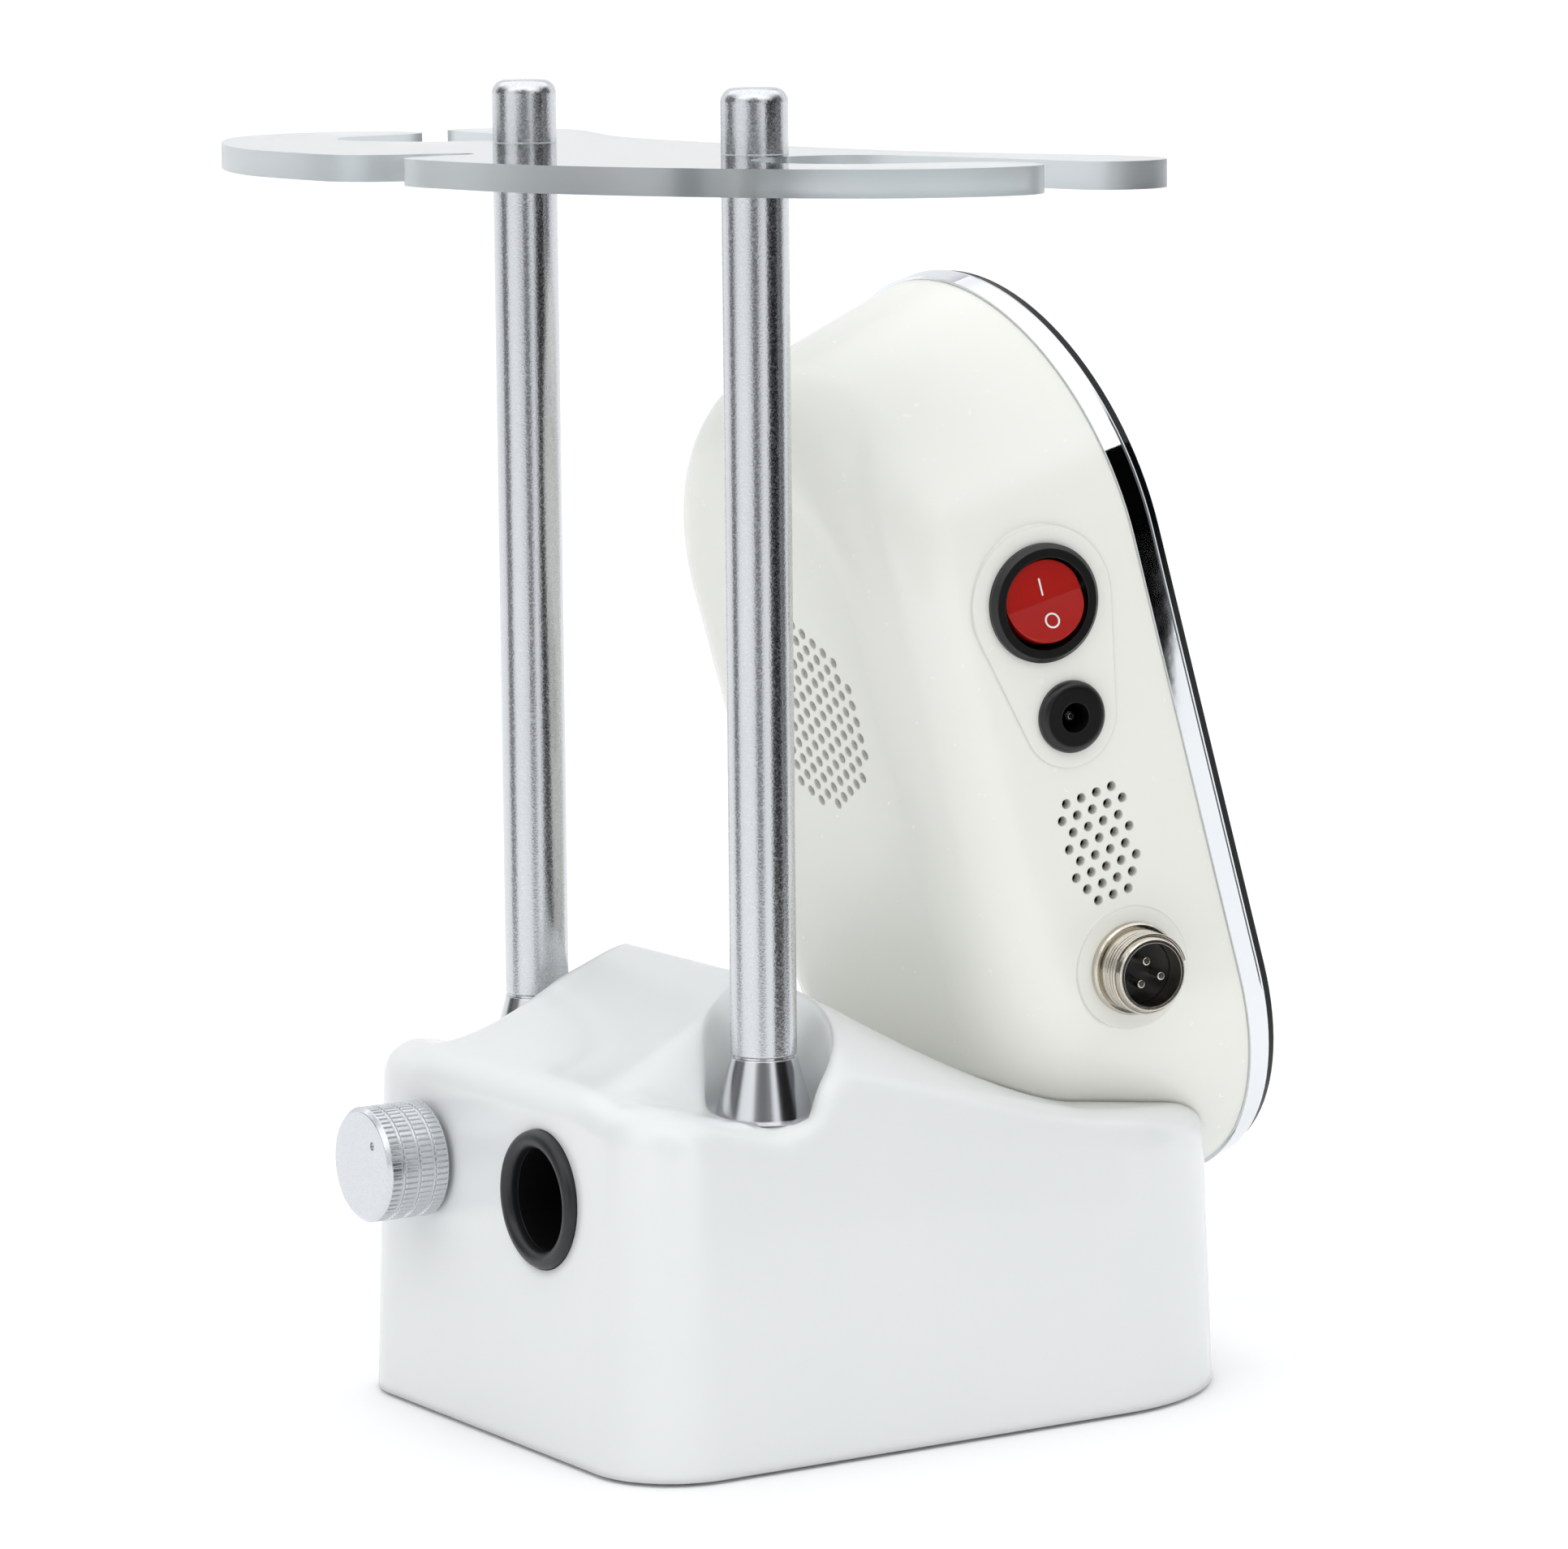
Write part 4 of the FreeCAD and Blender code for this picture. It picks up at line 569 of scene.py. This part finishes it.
@dataclass
class ScrewSet:
    """Cross-head screws, one tree for every size and place."""

    head_height: float = 1.7 * MM
    slot_width: float = 0.75 * MM
    slot_depth: float = 1.0 * MM

    def tree(self) -> bpy.types.NodeTree:
        """Build the tree: a head with a cross cut in it and a shank, on each point.

        Returns:
            The tree, made once for every set.
        """
        found = bpy.data.node_groups.get("cross_head_screws")
        if found:
            return found
        sizes = {"Head Radius": 0.0, "Head Height": 0.0, "Shank Radius": 0.0, "Shank Length": 0.0,
                 "Slot Width": 0.0, "Slot Depth": 0.0}
        tree = new_tree("cross_head_screws", sizes, {"Turn": ()})
        given = add_node(tree, "NodeGroupInput")
        wide = given.outputs["Head Radius"]
        tall = given.outputs["Head Height"]
        head = add_node(tree, "GeometryNodeMeshCylinder", {"Vertices": 40, "Radius": wide, "Depth": tall})
        half = add_node(tree, "ShaderNodeMath", {0: tall, 1: 0.5}, operation="MULTIPLY").outputs[0]
        lift = add_node(tree, "ShaderNodeCombineXYZ", {2: half}).outputs[0]
        head_up = add_node(tree, "GeometryNodeTransform", {"Geometry": head.outputs[0], "Translation": lift})
        long_slot = add_node(tree, "ShaderNodeMath", {0: wide, 1: 1.25}, operation="MULTIPLY").outputs[0]
        deep = add_node(tree, "ShaderNodeMath", {0: given.outputs["Slot Depth"], 1: 2.0},
                        operation="MULTIPLY").outputs[0]
        thin = given.outputs["Slot Width"]
        top = add_node(tree, "ShaderNodeCombineXYZ", {2: tall}).outputs[0]
        cuts = []
        for a, b in ((long_slot, thin), (thin, long_slot)):
            size = add_node(tree, "ShaderNodeCombineXYZ", {0: a, 1: b, 2: deep}).outputs[0]
            bar = add_node(tree, "GeometryNodeMeshCube", {"Size": size})
            cuts.append(add_node(tree, "GeometryNodeTransform", {"Geometry": bar.outputs[0], "Translation": top}))
        carved = head_up.outputs[0]
        for cut in cuts:
            made = add_node(tree, "GeometryNodeMeshBoolean", {0: carved}, operation="DIFFERENCE")
            tree.links.new(cut.outputs[0], made.inputs[1])
            carved = made.outputs[0]
        shank = add_node(tree, "GeometryNodeMeshCylinder", {"Vertices": 24, "Radius": given.outputs["Shank Radius"],
                                                           "Depth": given.outputs["Shank Length"]})
        drop = add_node(tree, "ShaderNodeMath", {0: given.outputs["Shank Length"], 1: -0.5},
                        operation="MULTIPLY").outputs[0]
        low = add_node(tree, "ShaderNodeCombineXYZ", {2: drop}).outputs[0]
        shank_down = add_node(tree, "GeometryNodeTransform", {"Geometry": shank.outputs[0], "Translation": low})
        both = add_node(tree, "GeometryNodeJoinGeometry")
        tree.links.new(carved, both.inputs[0])
        tree.links.new(shank_down.outputs[0], both.inputs[0])
        turn = add_node(tree, "FunctionNodeEulerToRotation", {0: given.outputs["Turn"]}).outputs[0]
        put = add_node(tree, "GeometryNodeInstanceOnPoints", {"Points": given.outputs["Geometry"],
                                                             "Instance": both.outputs[0], "Rotation": turn})
        end_tree(tree, put.outputs[0], given)
        return tree

    def put(self, node: str, body: str, out: Vector) -> None:
        """Make one set of screws and let it stand for its CAD node.

        Args:
            node: The CAD node that holds the plain screws.
            body: The body that they ride on.
            out: The way that their heads face.
        """
        points, length, radius = [], 0.0, 0.0
        for solid in islands(node):
            centre = sum(solid, Vector()) / len(solid)
            heights = [p.dot(out) for p in solid]
            points.append(centre + out * (max(heights) - self.head_height - centre.dot(out)))
            length = max(heights) - min(heights) - self.head_height
            radius = max((p - centre - out * (p - centre).dot(out)).length for p in solid)
        mesh = bake_tree(self.tree(), points, {
            "Head Radius": radius, "Head Height": self.head_height, "Shank Radius": radius * 0.5,
            "Shank Length": length, "Slot Width": self.slot_width, "Slot Depth": self.slot_depth,
            "Turn": tuple(out.to_track_quat("Z", "Y").to_euler()), "Finish": ZINC.build()}, node + "_cross_head")
        piece = make_object(node + "_cross_head", mesh, ZINC, body)
        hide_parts(node)


class SubAssembly:
    """A group of pieces that are made and dressed together."""

    finishes: ClassVar[dict[str, Finish]] = {}

    def dress(self) -> None:
        """Give each CAD node of the group its finish."""
        for name, finish in self.finishes.items():
            wear(name, finish)

    def build(self) -> None:
        """Make the group's own pieces after its CAD nodes are dressed."""
        self.dress()


@dataclass
class BaseUnit(SubAssembly):
    """The weighted base with its cover, feet and board."""

    screws: ScrewSet
    finishes: ClassVar[dict[str, Finish]] = {
        "base_shell": WHITE_ABS, "base_cover": GREY_ABS, "base_feet": FOOT, "base_weight": STEEL,
        "base_board": BOARD, "board_spacers": BRASS, "cover_screws": ZINC, "base_board_screws": ZINC}

    def build(self) -> None:
        """Dress the base and put cross-head screws in it."""
        self.dress()
        self.screws.put("cover_screws", "base", Vector((0.0, 0.0, -1.0)))
        self.screws.put("base_board_screws", "base", Vector((0.0, 0.0, 1.0)))


@dataclass
class RearSocket(SubAssembly):
    """The round socket in the back of the base."""

    finishes: ClassVar[dict[str, Finish]] = {
        "socket_ring": RUBBER, "socket_cup": BLACK_NYLON, "socket_contact": NICKEL, "socket_pin": NICKEL}


@dataclass
class PostPair(SubAssembly):
    """Two blasted posts with turned ferrules, caps and the rods inside them."""

    finishes: ClassVar[dict[str, Finish]] = {
        "post_left": BLASTED, "post_right": BLASTED, "cap_left": BLASTED, "cap_right": BLASTED,
        "ferrule_left": TURNED, "ferrule_right": TURNED, "tie_rod_left": ZINC, "tie_rod_right": ZINC,
        "rod_nuts": ZINC, "rod_washers": ZINC}


@dataclass
class HandpieceHolder(SubAssembly):
    """The clear plate across the posts."""

    finishes: ClassVar[dict[str, Finish]] = {"holder_plate": ACRYLIC}


@dataclass
class SpeedKnob(SubAssembly):
    """The fluted knob on its potentiometer."""

    finishes: ClassVar[dict[str, Finish]] = {
        "knob": KNOB_METAL, "knob_setscrew": ZINC, "pot_body": ZINC, "pot_nut": ZINC, "pot_shaft": BRASS}


@dataclass
class ControlHead(SubAssembly):
    """The head's housing, trim, frame, board and loudspeaker."""

    screws: ScrewSet
    finishes: ClassVar[dict[str, Finish]] = {
        "rear_housing": IVORY_ABS, "chrome_trim": CHROME, "front_panel": BLACK_GLOSS, "front_frame": GREY_ABS,
        "main_board": BOARD, "standoffs": BRASS, "speaker_frame": ZINC, "speaker_cone": PAPER,
        "frame_screws": ZINC, "main_board_screws": ZINC}

    def build(self) -> None:
        """Dress the head and put cross-head screws in it."""
        self.dress()
        front = head_seat().out
        self.screws.put("frame_screws", "head", front)
        self.screws.put("main_board_screws", "head", -front)


@dataclass
class PowerSwitch(SubAssembly):
    """The round switch with the on and off marks on its red rocker."""

    bar_mm: float = 3.2
    ring_mm: float = 1.35
    stroke_mm: float = 0.34
    offset_mm: float = 3.3
    ink_mm: float = 0.06
    finishes: ClassVar[dict[str, Finish]] = {
        "switch_body": BLACK_NYLON, "switch_blades": NICKEL, "rocker": RED_LENS, "rocker_pin": ZINC}

    def bar(self, face: Seat) -> bpy.types.Mesh:
        """Give the on mark, a rounded bar.

        Args:
            face: Its place on the rocker's face.

        Returns:
            The bar's mesh.
        """
        half, end = self.stroke_mm / 2.0, self.bar_mm / 2.0
        outline = []
        for side in (1.0, -1.0):
            for k in range(9):
                angle = math.pi * k / 8
                outline.append((side * half * math.cos(angle), side * (end + half * math.sin(angle))))
        return plate([outline], self.ink_mm, "on_mark", face)

    def ring(self, face: Seat) -> bpy.types.Mesh:
        """Give the off mark, a ring.

        Args:
            face: Its place on the rocker's face.

        Returns:
            The ring's mesh.
        """
        r, w, t = self.ring_mm, self.stroke_mm / 2.0, self.ink_mm / 2.0
        return lathe([(r - w, -t), (r + w, -t), (r + w, t), (r - w, t)], "off_mark", face, 48)

    def build(self) -> None:
        """Dress the switch and print the marks just over the rocker's face."""
        self.dress()
        seat = side_seat("rocker")
        graph = bpy.context.evaluated_depsgraph_get()
        rocker = frame["nodes"]["rocker"].evaluated_get(graph)
        for name, sign in (("on_mark", 1.0), ("off_mark", -1.0)):
            start = seat.origin + seat.up * (sign * self.offset_mm * MM) + seat.out * 0.03
            hit, spot, normal, _ = rocker.ray_cast(start, -seat.out)
            if not hit:
                raise RuntimeError("no rocker face under the mark")
            up = (seat.up - normal * seat.up.dot(normal)).normalized()
            face = Seat(spot + normal * self.ink_mm / 2.0 * MM, up.cross(normal), up, normal)
            mesh = self.bar(face) if name == "on_mark" else self.ring(face)
            make_object(name, mesh, WHITE_INK, "rocker")


@dataclass
class SupplyJack(SubAssembly):
    """The low-voltage jack with its nut and centre pin."""

    finishes: ClassVar[dict[str, Finish]] = {"jack_body": BLACK_NYLON, "jack_nut": BLACK_NYLON, "jack_pin": NICKEL}


@dataclass
class LeadConnector(SubAssembly):
    """The round connector and the thread that the motor lead's collar screws on to."""

    pitch_mm: float = 0.95
    turns: float = 5.0
    radius_mm: float = 7.95
    ridge_mm: float = 0.34
    sunk_mm: float = 0.22
    lip_mm: float = 1.1
    finishes: ClassVar[dict[str, Finish]] = {
        "plug_shell": NICKEL, "plug_nut": NICKEL, "plug_insert": BLACK_NYLON, "plug_core": BLACK_NYLON,
        "plug_pins": NICKEL}

    def tree(self) -> bpy.types.NodeTree:
        """Build the tree: a ridge that follows a helix.

        Returns:
            The tree.
        """
        tree = new_tree("connector_thread", {"Turns": 0.0, "Radius": 0.0, "Height": 0.0, "Ridge": 0.0},
                        {"Move": (), "Turn": ()})
        given = add_node(tree, "NodeGroupInput")
        helix = add_node(tree, "GeometryNodeCurveSpiral", {
            "Resolution": 72, "Rotations": given.outputs["Turns"], "Start Radius": given.outputs["Radius"],
            "End Radius": given.outputs["Radius"], "Height": given.outputs["Height"]})
        section = add_node(tree, "GeometryNodeCurvePrimitiveCircle", {"Resolution": 6,
                                                                     "Radius": given.outputs["Ridge"]})
        swept = add_node(tree, "GeometryNodeCurveToMesh", {"Curve": helix.outputs[0],
                                                          "Profile Curve": section.outputs[0], "Fill Caps": True})
        moved = add_node(tree, "GeometryNodeTransform", {"Geometry": swept.outputs[0],
                                                        "Translation": given.outputs["Move"],
                                                        "Rotation": given.outputs["Turn"]})
        end_tree(tree, moved.outputs[0], given)
        return tree

    def build(self) -> None:
        """Dress the connector and put the thread on its shell."""
        self.dress()
        seat = side_seat("plug_insert")
        height = self.pitch_mm * self.turns
        foot = tip_of("plug_shell", seat) - height - self.lip_mm
        mesh = bake_tree(self.tree(), [Vector()], {
            "Turns": self.turns, "Radius": (self.radius_mm - self.sunk_mm) * MM, "Height": height * MM,
            "Ridge": self.ridge_mm * MM, "Move": tuple(seat.origin + seat.out * (foot * MM)),
            "Turn": tuple(seat.matrix().to_3x3().to_euler()), "Finish": NICKEL.build()}, "connector_thread")
        make_object("connector_thread", mesh, NICKEL, "head")


class KeySign(Enum):
    """The touch keys under the display."""

    LESS = "less"
    START = "start"
    MORE = "more"


@dataclass
class FrontFace(SubAssembly):
    """The display and the generic touch signs printed below it."""

    below_mm: float = 17.0
    apart_mm: float = 17.0
    ring_mm: float = 5.6
    stroke_mm: float = 0.45
    ink_mm: float = 0.04
    finishes: ClassVar[dict[str, Finish]] = {"display_window": DISPLAY_GLASS, "display_module": BLACK_NYLON}

    def sign(self, sign: KeySign) -> list[list[tuple[float, float]]]:
        """Give the outlines of one sign.

        Args:
            sign: Which key it stands for.

        Returns:
            Closed outlines in millimetres about the key's middle.
        """
        s = self.stroke_mm / 2.0
        bar = [(-2.2, -s), (2.2, -s), (2.2, s), (-2.2, s)]
        if sign is KeySign.LESS:
            return [bar]
        if sign is KeySign.START:
            return [[(-1.5, -2.1), (2.2, 0.0), (-1.5, 2.1)]]
        return [bar, [(-s, s), (s, s), (s, 2.2), (-s, 2.2)], [(-s, -2.2), (s, -2.2), (s, -s), (-s, -s)]]

    def build(self) -> None:
        """Dress the display and print the signs on the black panel."""
        self.dress()
        face = head_seat()
        low = min(v.co.dot(face.up) for v in frame["nodes"]["display_window"].data.vertices)
        drop = low - face.origin.dot(face.up) - self.below_mm * MM
        for k, sign in enumerate(KeySign):
            origin = face.origin + face.up * drop + face.across * ((k - 1) * self.apart_mm * MM)
            r, w, t = self.ring_mm, self.stroke_mm / 2.0, self.ink_mm / 2.0
            seat = Seat(origin + face.out * t * MM, face.across, face.up, face.out)
            ring = lathe([(r - w, -t), (r + w, -t), (r + w, t), (r - w, t)], "ring", seat, 72)
            work = bmesh.new()
            work.from_mesh(ring)
            work.from_mesh(plate(self.sign(sign), self.ink_mm, "sign", seat))
            name = "touch_key_" + sign.value
            make_object(name, mesh_from(work, name), WHITE_INK, "head")


@dataclass(frozen=True)
class Card:
    """A dark card of the studio: where it stands, in degrees and metres, and how dark it is."""

    name: str
    azimuth: float
    away: float
    width: float
    height: float
    colour: str


@dataclass
class Studio:
    """Pale floor, soft lights and the camera."""

    floor_half: float = 60.0
    eye: tuple[float, float, float] = (-1.0264, 0.6552, 0.2892)
    look: tuple[float, float, float] = (0.8358, -0.5319, -0.1359)
    lens: float = 144.8
    roll: float = 0.556
    top_light: float = 1.3
    roof_light: float = 0.95
    panel_light: float = 1.1
    gap_light: float = 0.1
    backdrop_light: float = 1.0
    cards: tuple[Card, ...] = (
        Card("side", 199.0, 0.34, 0.24, 0.34, "030303"), Card("front", 233.0, 0.45, 0.17, 0.5, "67686B"),
        Card("camera", 144.0, 0.55, 0.2, 0.6, "707174"), Card("back", 63.0, 0.5, 0.2, 0.5, "77787B"))
    panel_turn: float = 100.0

    def floor(self) -> None:
        """Lay the pale floor."""
        work = bmesh.new()
        bmesh.ops.create_grid(work, x_segments=1, y_segments=1, size=self.floor_half)
        mesh = bpy.data.meshes.new("floor")
        work.to_mesh(mesh)
        work.free()
        floor = bpy.data.objects.new("floor", mesh)
        floor.location.z = -0.0002
        bpy.context.scene.collection.objects.link(floor)
        mesh.materials.append(Finish("pale_studio_floor", "FFFFFF", "FCFCFC", 0.7, ior=1.4).build())

    def light(self, name: str, where: Vector, size: tuple[float, float], power: float) -> None:
        """Hang one soft rectangular light that faces the object.

        Args:
            name: The light's name.
            where: Its place.
            size: Its width and height.
            power: Its power in watts.
        """
        lamp = bpy.data.lights.new(name, "AREA")
        lamp.shape = "RECTANGLE"
        lamp.size, lamp.size_y = size
        lamp.energy = power
        holder = bpy.data.objects.new(name, lamp)
        aim = Vector((0.0, 0.0, 0.12)) - where
        holder.matrix_world = Matrix.Translation(where) @ aim.to_track_quat("-Z", "Y").to_matrix().to_4x4()
        bpy.context.scene.collection.objects.link(holder)

    def flag(self, card: Card) -> None:
        """Stand one dark card beside the object, which only shows in what gleams.

        Args:
            card: Where it stands and how dark it is.
        """
        angle = math.radians(card.azimuth)
        outward = Vector((math.cos(angle), math.sin(angle), 0.0))
        along = Vector((-outward.y, outward.x, 0.0)) * (card.width / 2.0)
        centre, tall = outward * card.away, Vector((0.0, 0.0, card.height))
        name = "flag_" + card.name
        mesh = bpy.data.meshes.new(name)
        mesh.from_pydata([centre - along, centre + along, centre + along + tall, centre - along + tall], [],
                         [(0, 1, 2, 3)])
        cloth = Finish(name + "_cloth", card.colour, card.colour, 0.9, Pattern.FIBRE, shine=0.0)
        mesh.materials.append(cloth.build())
        piece = bpy.data.objects.new(name, mesh)
        piece.visible_camera = piece.visible_diffuse = piece.visible_shadow = piece.visible_transmission = False
        bpy.context.scene.collection.objects.link(piece)

    def overhead(self) -> None:
        """Light the floor and the tops evenly from above."""
        lamp = bpy.data.lights.new("overhead", "SUN")
        lamp.energy = self.top_light
        lamp.angle = math.radians(120.0)
        holder = bpy.data.objects.new("overhead", lamp)
        turn = Vector((0.1, -0.1, -1.0)).to_track_quat("-Z", "Y").to_matrix().to_4x4()
        holder.matrix_world = Matrix.Translation(Vector((0.0, 0.0, 2.0))) @ turn
        bpy.context.scene.collection.objects.link(holder)

    def world(self) -> None:
        """Surround the object with four soft panels, darker between them, under a pale ceiling."""
        world = bpy.data.worlds.new("studio")
        bpy.context.scene.world = world
        world.use_nodes = True
        tree = world.node_tree
        tree.nodes.clear()
        way = add_node(tree, "ShaderNodeTexCoord").outputs["Object"]
        split = add_node(tree, "ShaderNodeSeparateXYZ", {0: way})
        turn = add_node(tree, "ShaderNodeMath", {0: split.outputs[1], 1: split.outputs[0]}, operation="ARCTAN2")
        turned = add_node(tree, "ShaderNodeMath", {0: turn.outputs[0], 1: math.radians(self.panel_turn)},
                          operation="SUBTRACT").outputs[0]
        fourfold = add_node(tree, "ShaderNodeMath", {0: turned, 1: 4.0}, operation="MULTIPLY").outputs[0]
        wave = add_node(tree, "ShaderNodeMath", {0: fourfold}, operation="COSINE").outputs[0]
        panels = add_node(tree, "ShaderNodeMapRange", {0: wave, 1: -0.35, 2: 0.55, 3: self.gap_light,
                                                       4: self.panel_light}, interpolation_type="SMOOTHSTEP")
        roof = add_node(tree, "ShaderNodeMapRange", {0: split.outputs[2], 1: 0.55, 2: 0.85, 3: 0.0, 4: 1.0},
                        interpolation_type="SMOOTHSTEP").outputs[0]
        under = add_node(tree, "ShaderNodeMix", {0: roof, 2: panels.outputs[0], 3: self.roof_light}).outputs[0]
        ahead = add_node(tree, "ShaderNodeVectorMath", {0: way, 1: self.look}, operation="DOT_PRODUCT")
        behind = add_node(tree, "ShaderNodeMapRange", {0: ahead.outputs["Value"], 1: 0.55, 2: 0.8, 3: 0.0, 4: 1.0},
                          interpolation_type="SMOOTHSTEP").outputs[0]
        power = add_node(tree, "ShaderNodeMix", {0: behind, 2: under, 3: self.backdrop_light}).outputs[0]
        soft = add_node(tree, "ShaderNodeBackground", {0: linear("F4F6F8"), 1: power}).outputs[0]
        white = add_node(tree, "ShaderNodeBackground", {0: (1.0, 1.0, 1.0, 1.0), 1: 1.0}).outputs[0]
        seen = add_node(tree, "ShaderNodeLightPath").outputs["Is Camera Ray"]
        both = add_node(tree, "ShaderNodeMixShader", {0: seen, 1: soft, 2: white}).outputs[0]
        add_node(tree, "ShaderNodeOutputWorld", {0: both})

    def camera(self) -> None:
        """Set the camera."""
        lens = bpy.data.cameras.new("camera")
        lens.lens = self.lens
        lens.sensor_width = 36.0
        lens.clip_end = 50.0
        ahead = Vector(self.look).normalized()
        right = ahead.cross(Vector((0, 0, 1))).normalized()
        up = right.cross(ahead)
        a = math.radians(self.roll)
        right, up = right * math.cos(a) - up * math.sin(a), up * math.cos(a) + right * math.sin(a)
        turn = Matrix((right, up, -ahead)).transposed().to_4x4()
        holder = bpy.data.objects.new("camera", lens)
        holder.matrix_world = Matrix.Translation(Vector(self.eye)) @ turn
        bpy.context.scene.collection.objects.link(holder)
        bpy.context.scene.camera = holder

    def build(self) -> None:
        """Set up the whole studio."""
        self.floor()
        self.world()
        for card in self.cards:
            self.flag(card)
        self.overhead()
        self.light("key", Vector((-0.5, 0.35, 0.75)), (0.6, 0.6), 0.6)
        self.camera()
        bpy.context.scene.view_settings.view_transform = "Standard"


def main() -> None:
    """Build every sub-assembly and report each piece."""
    logging.basicConfig(level=logging.INFO, format="%(message)s")
    screws = ScrewSet()
    groups: tuple[SubAssembly, ...] = (
        BaseUnit(screws), RearSocket(), PostPair(), HandpieceHolder(), ControlHead(screws), FrontFace(),
        PowerSwitch(), SupplyJack(), LeadConnector(), SpeedKnob())
    for group in groups:
        group.build()
        LOG.info("built %s", type(group).__name__)
    Studio().build()


if __name__ == "__main__":
    main()
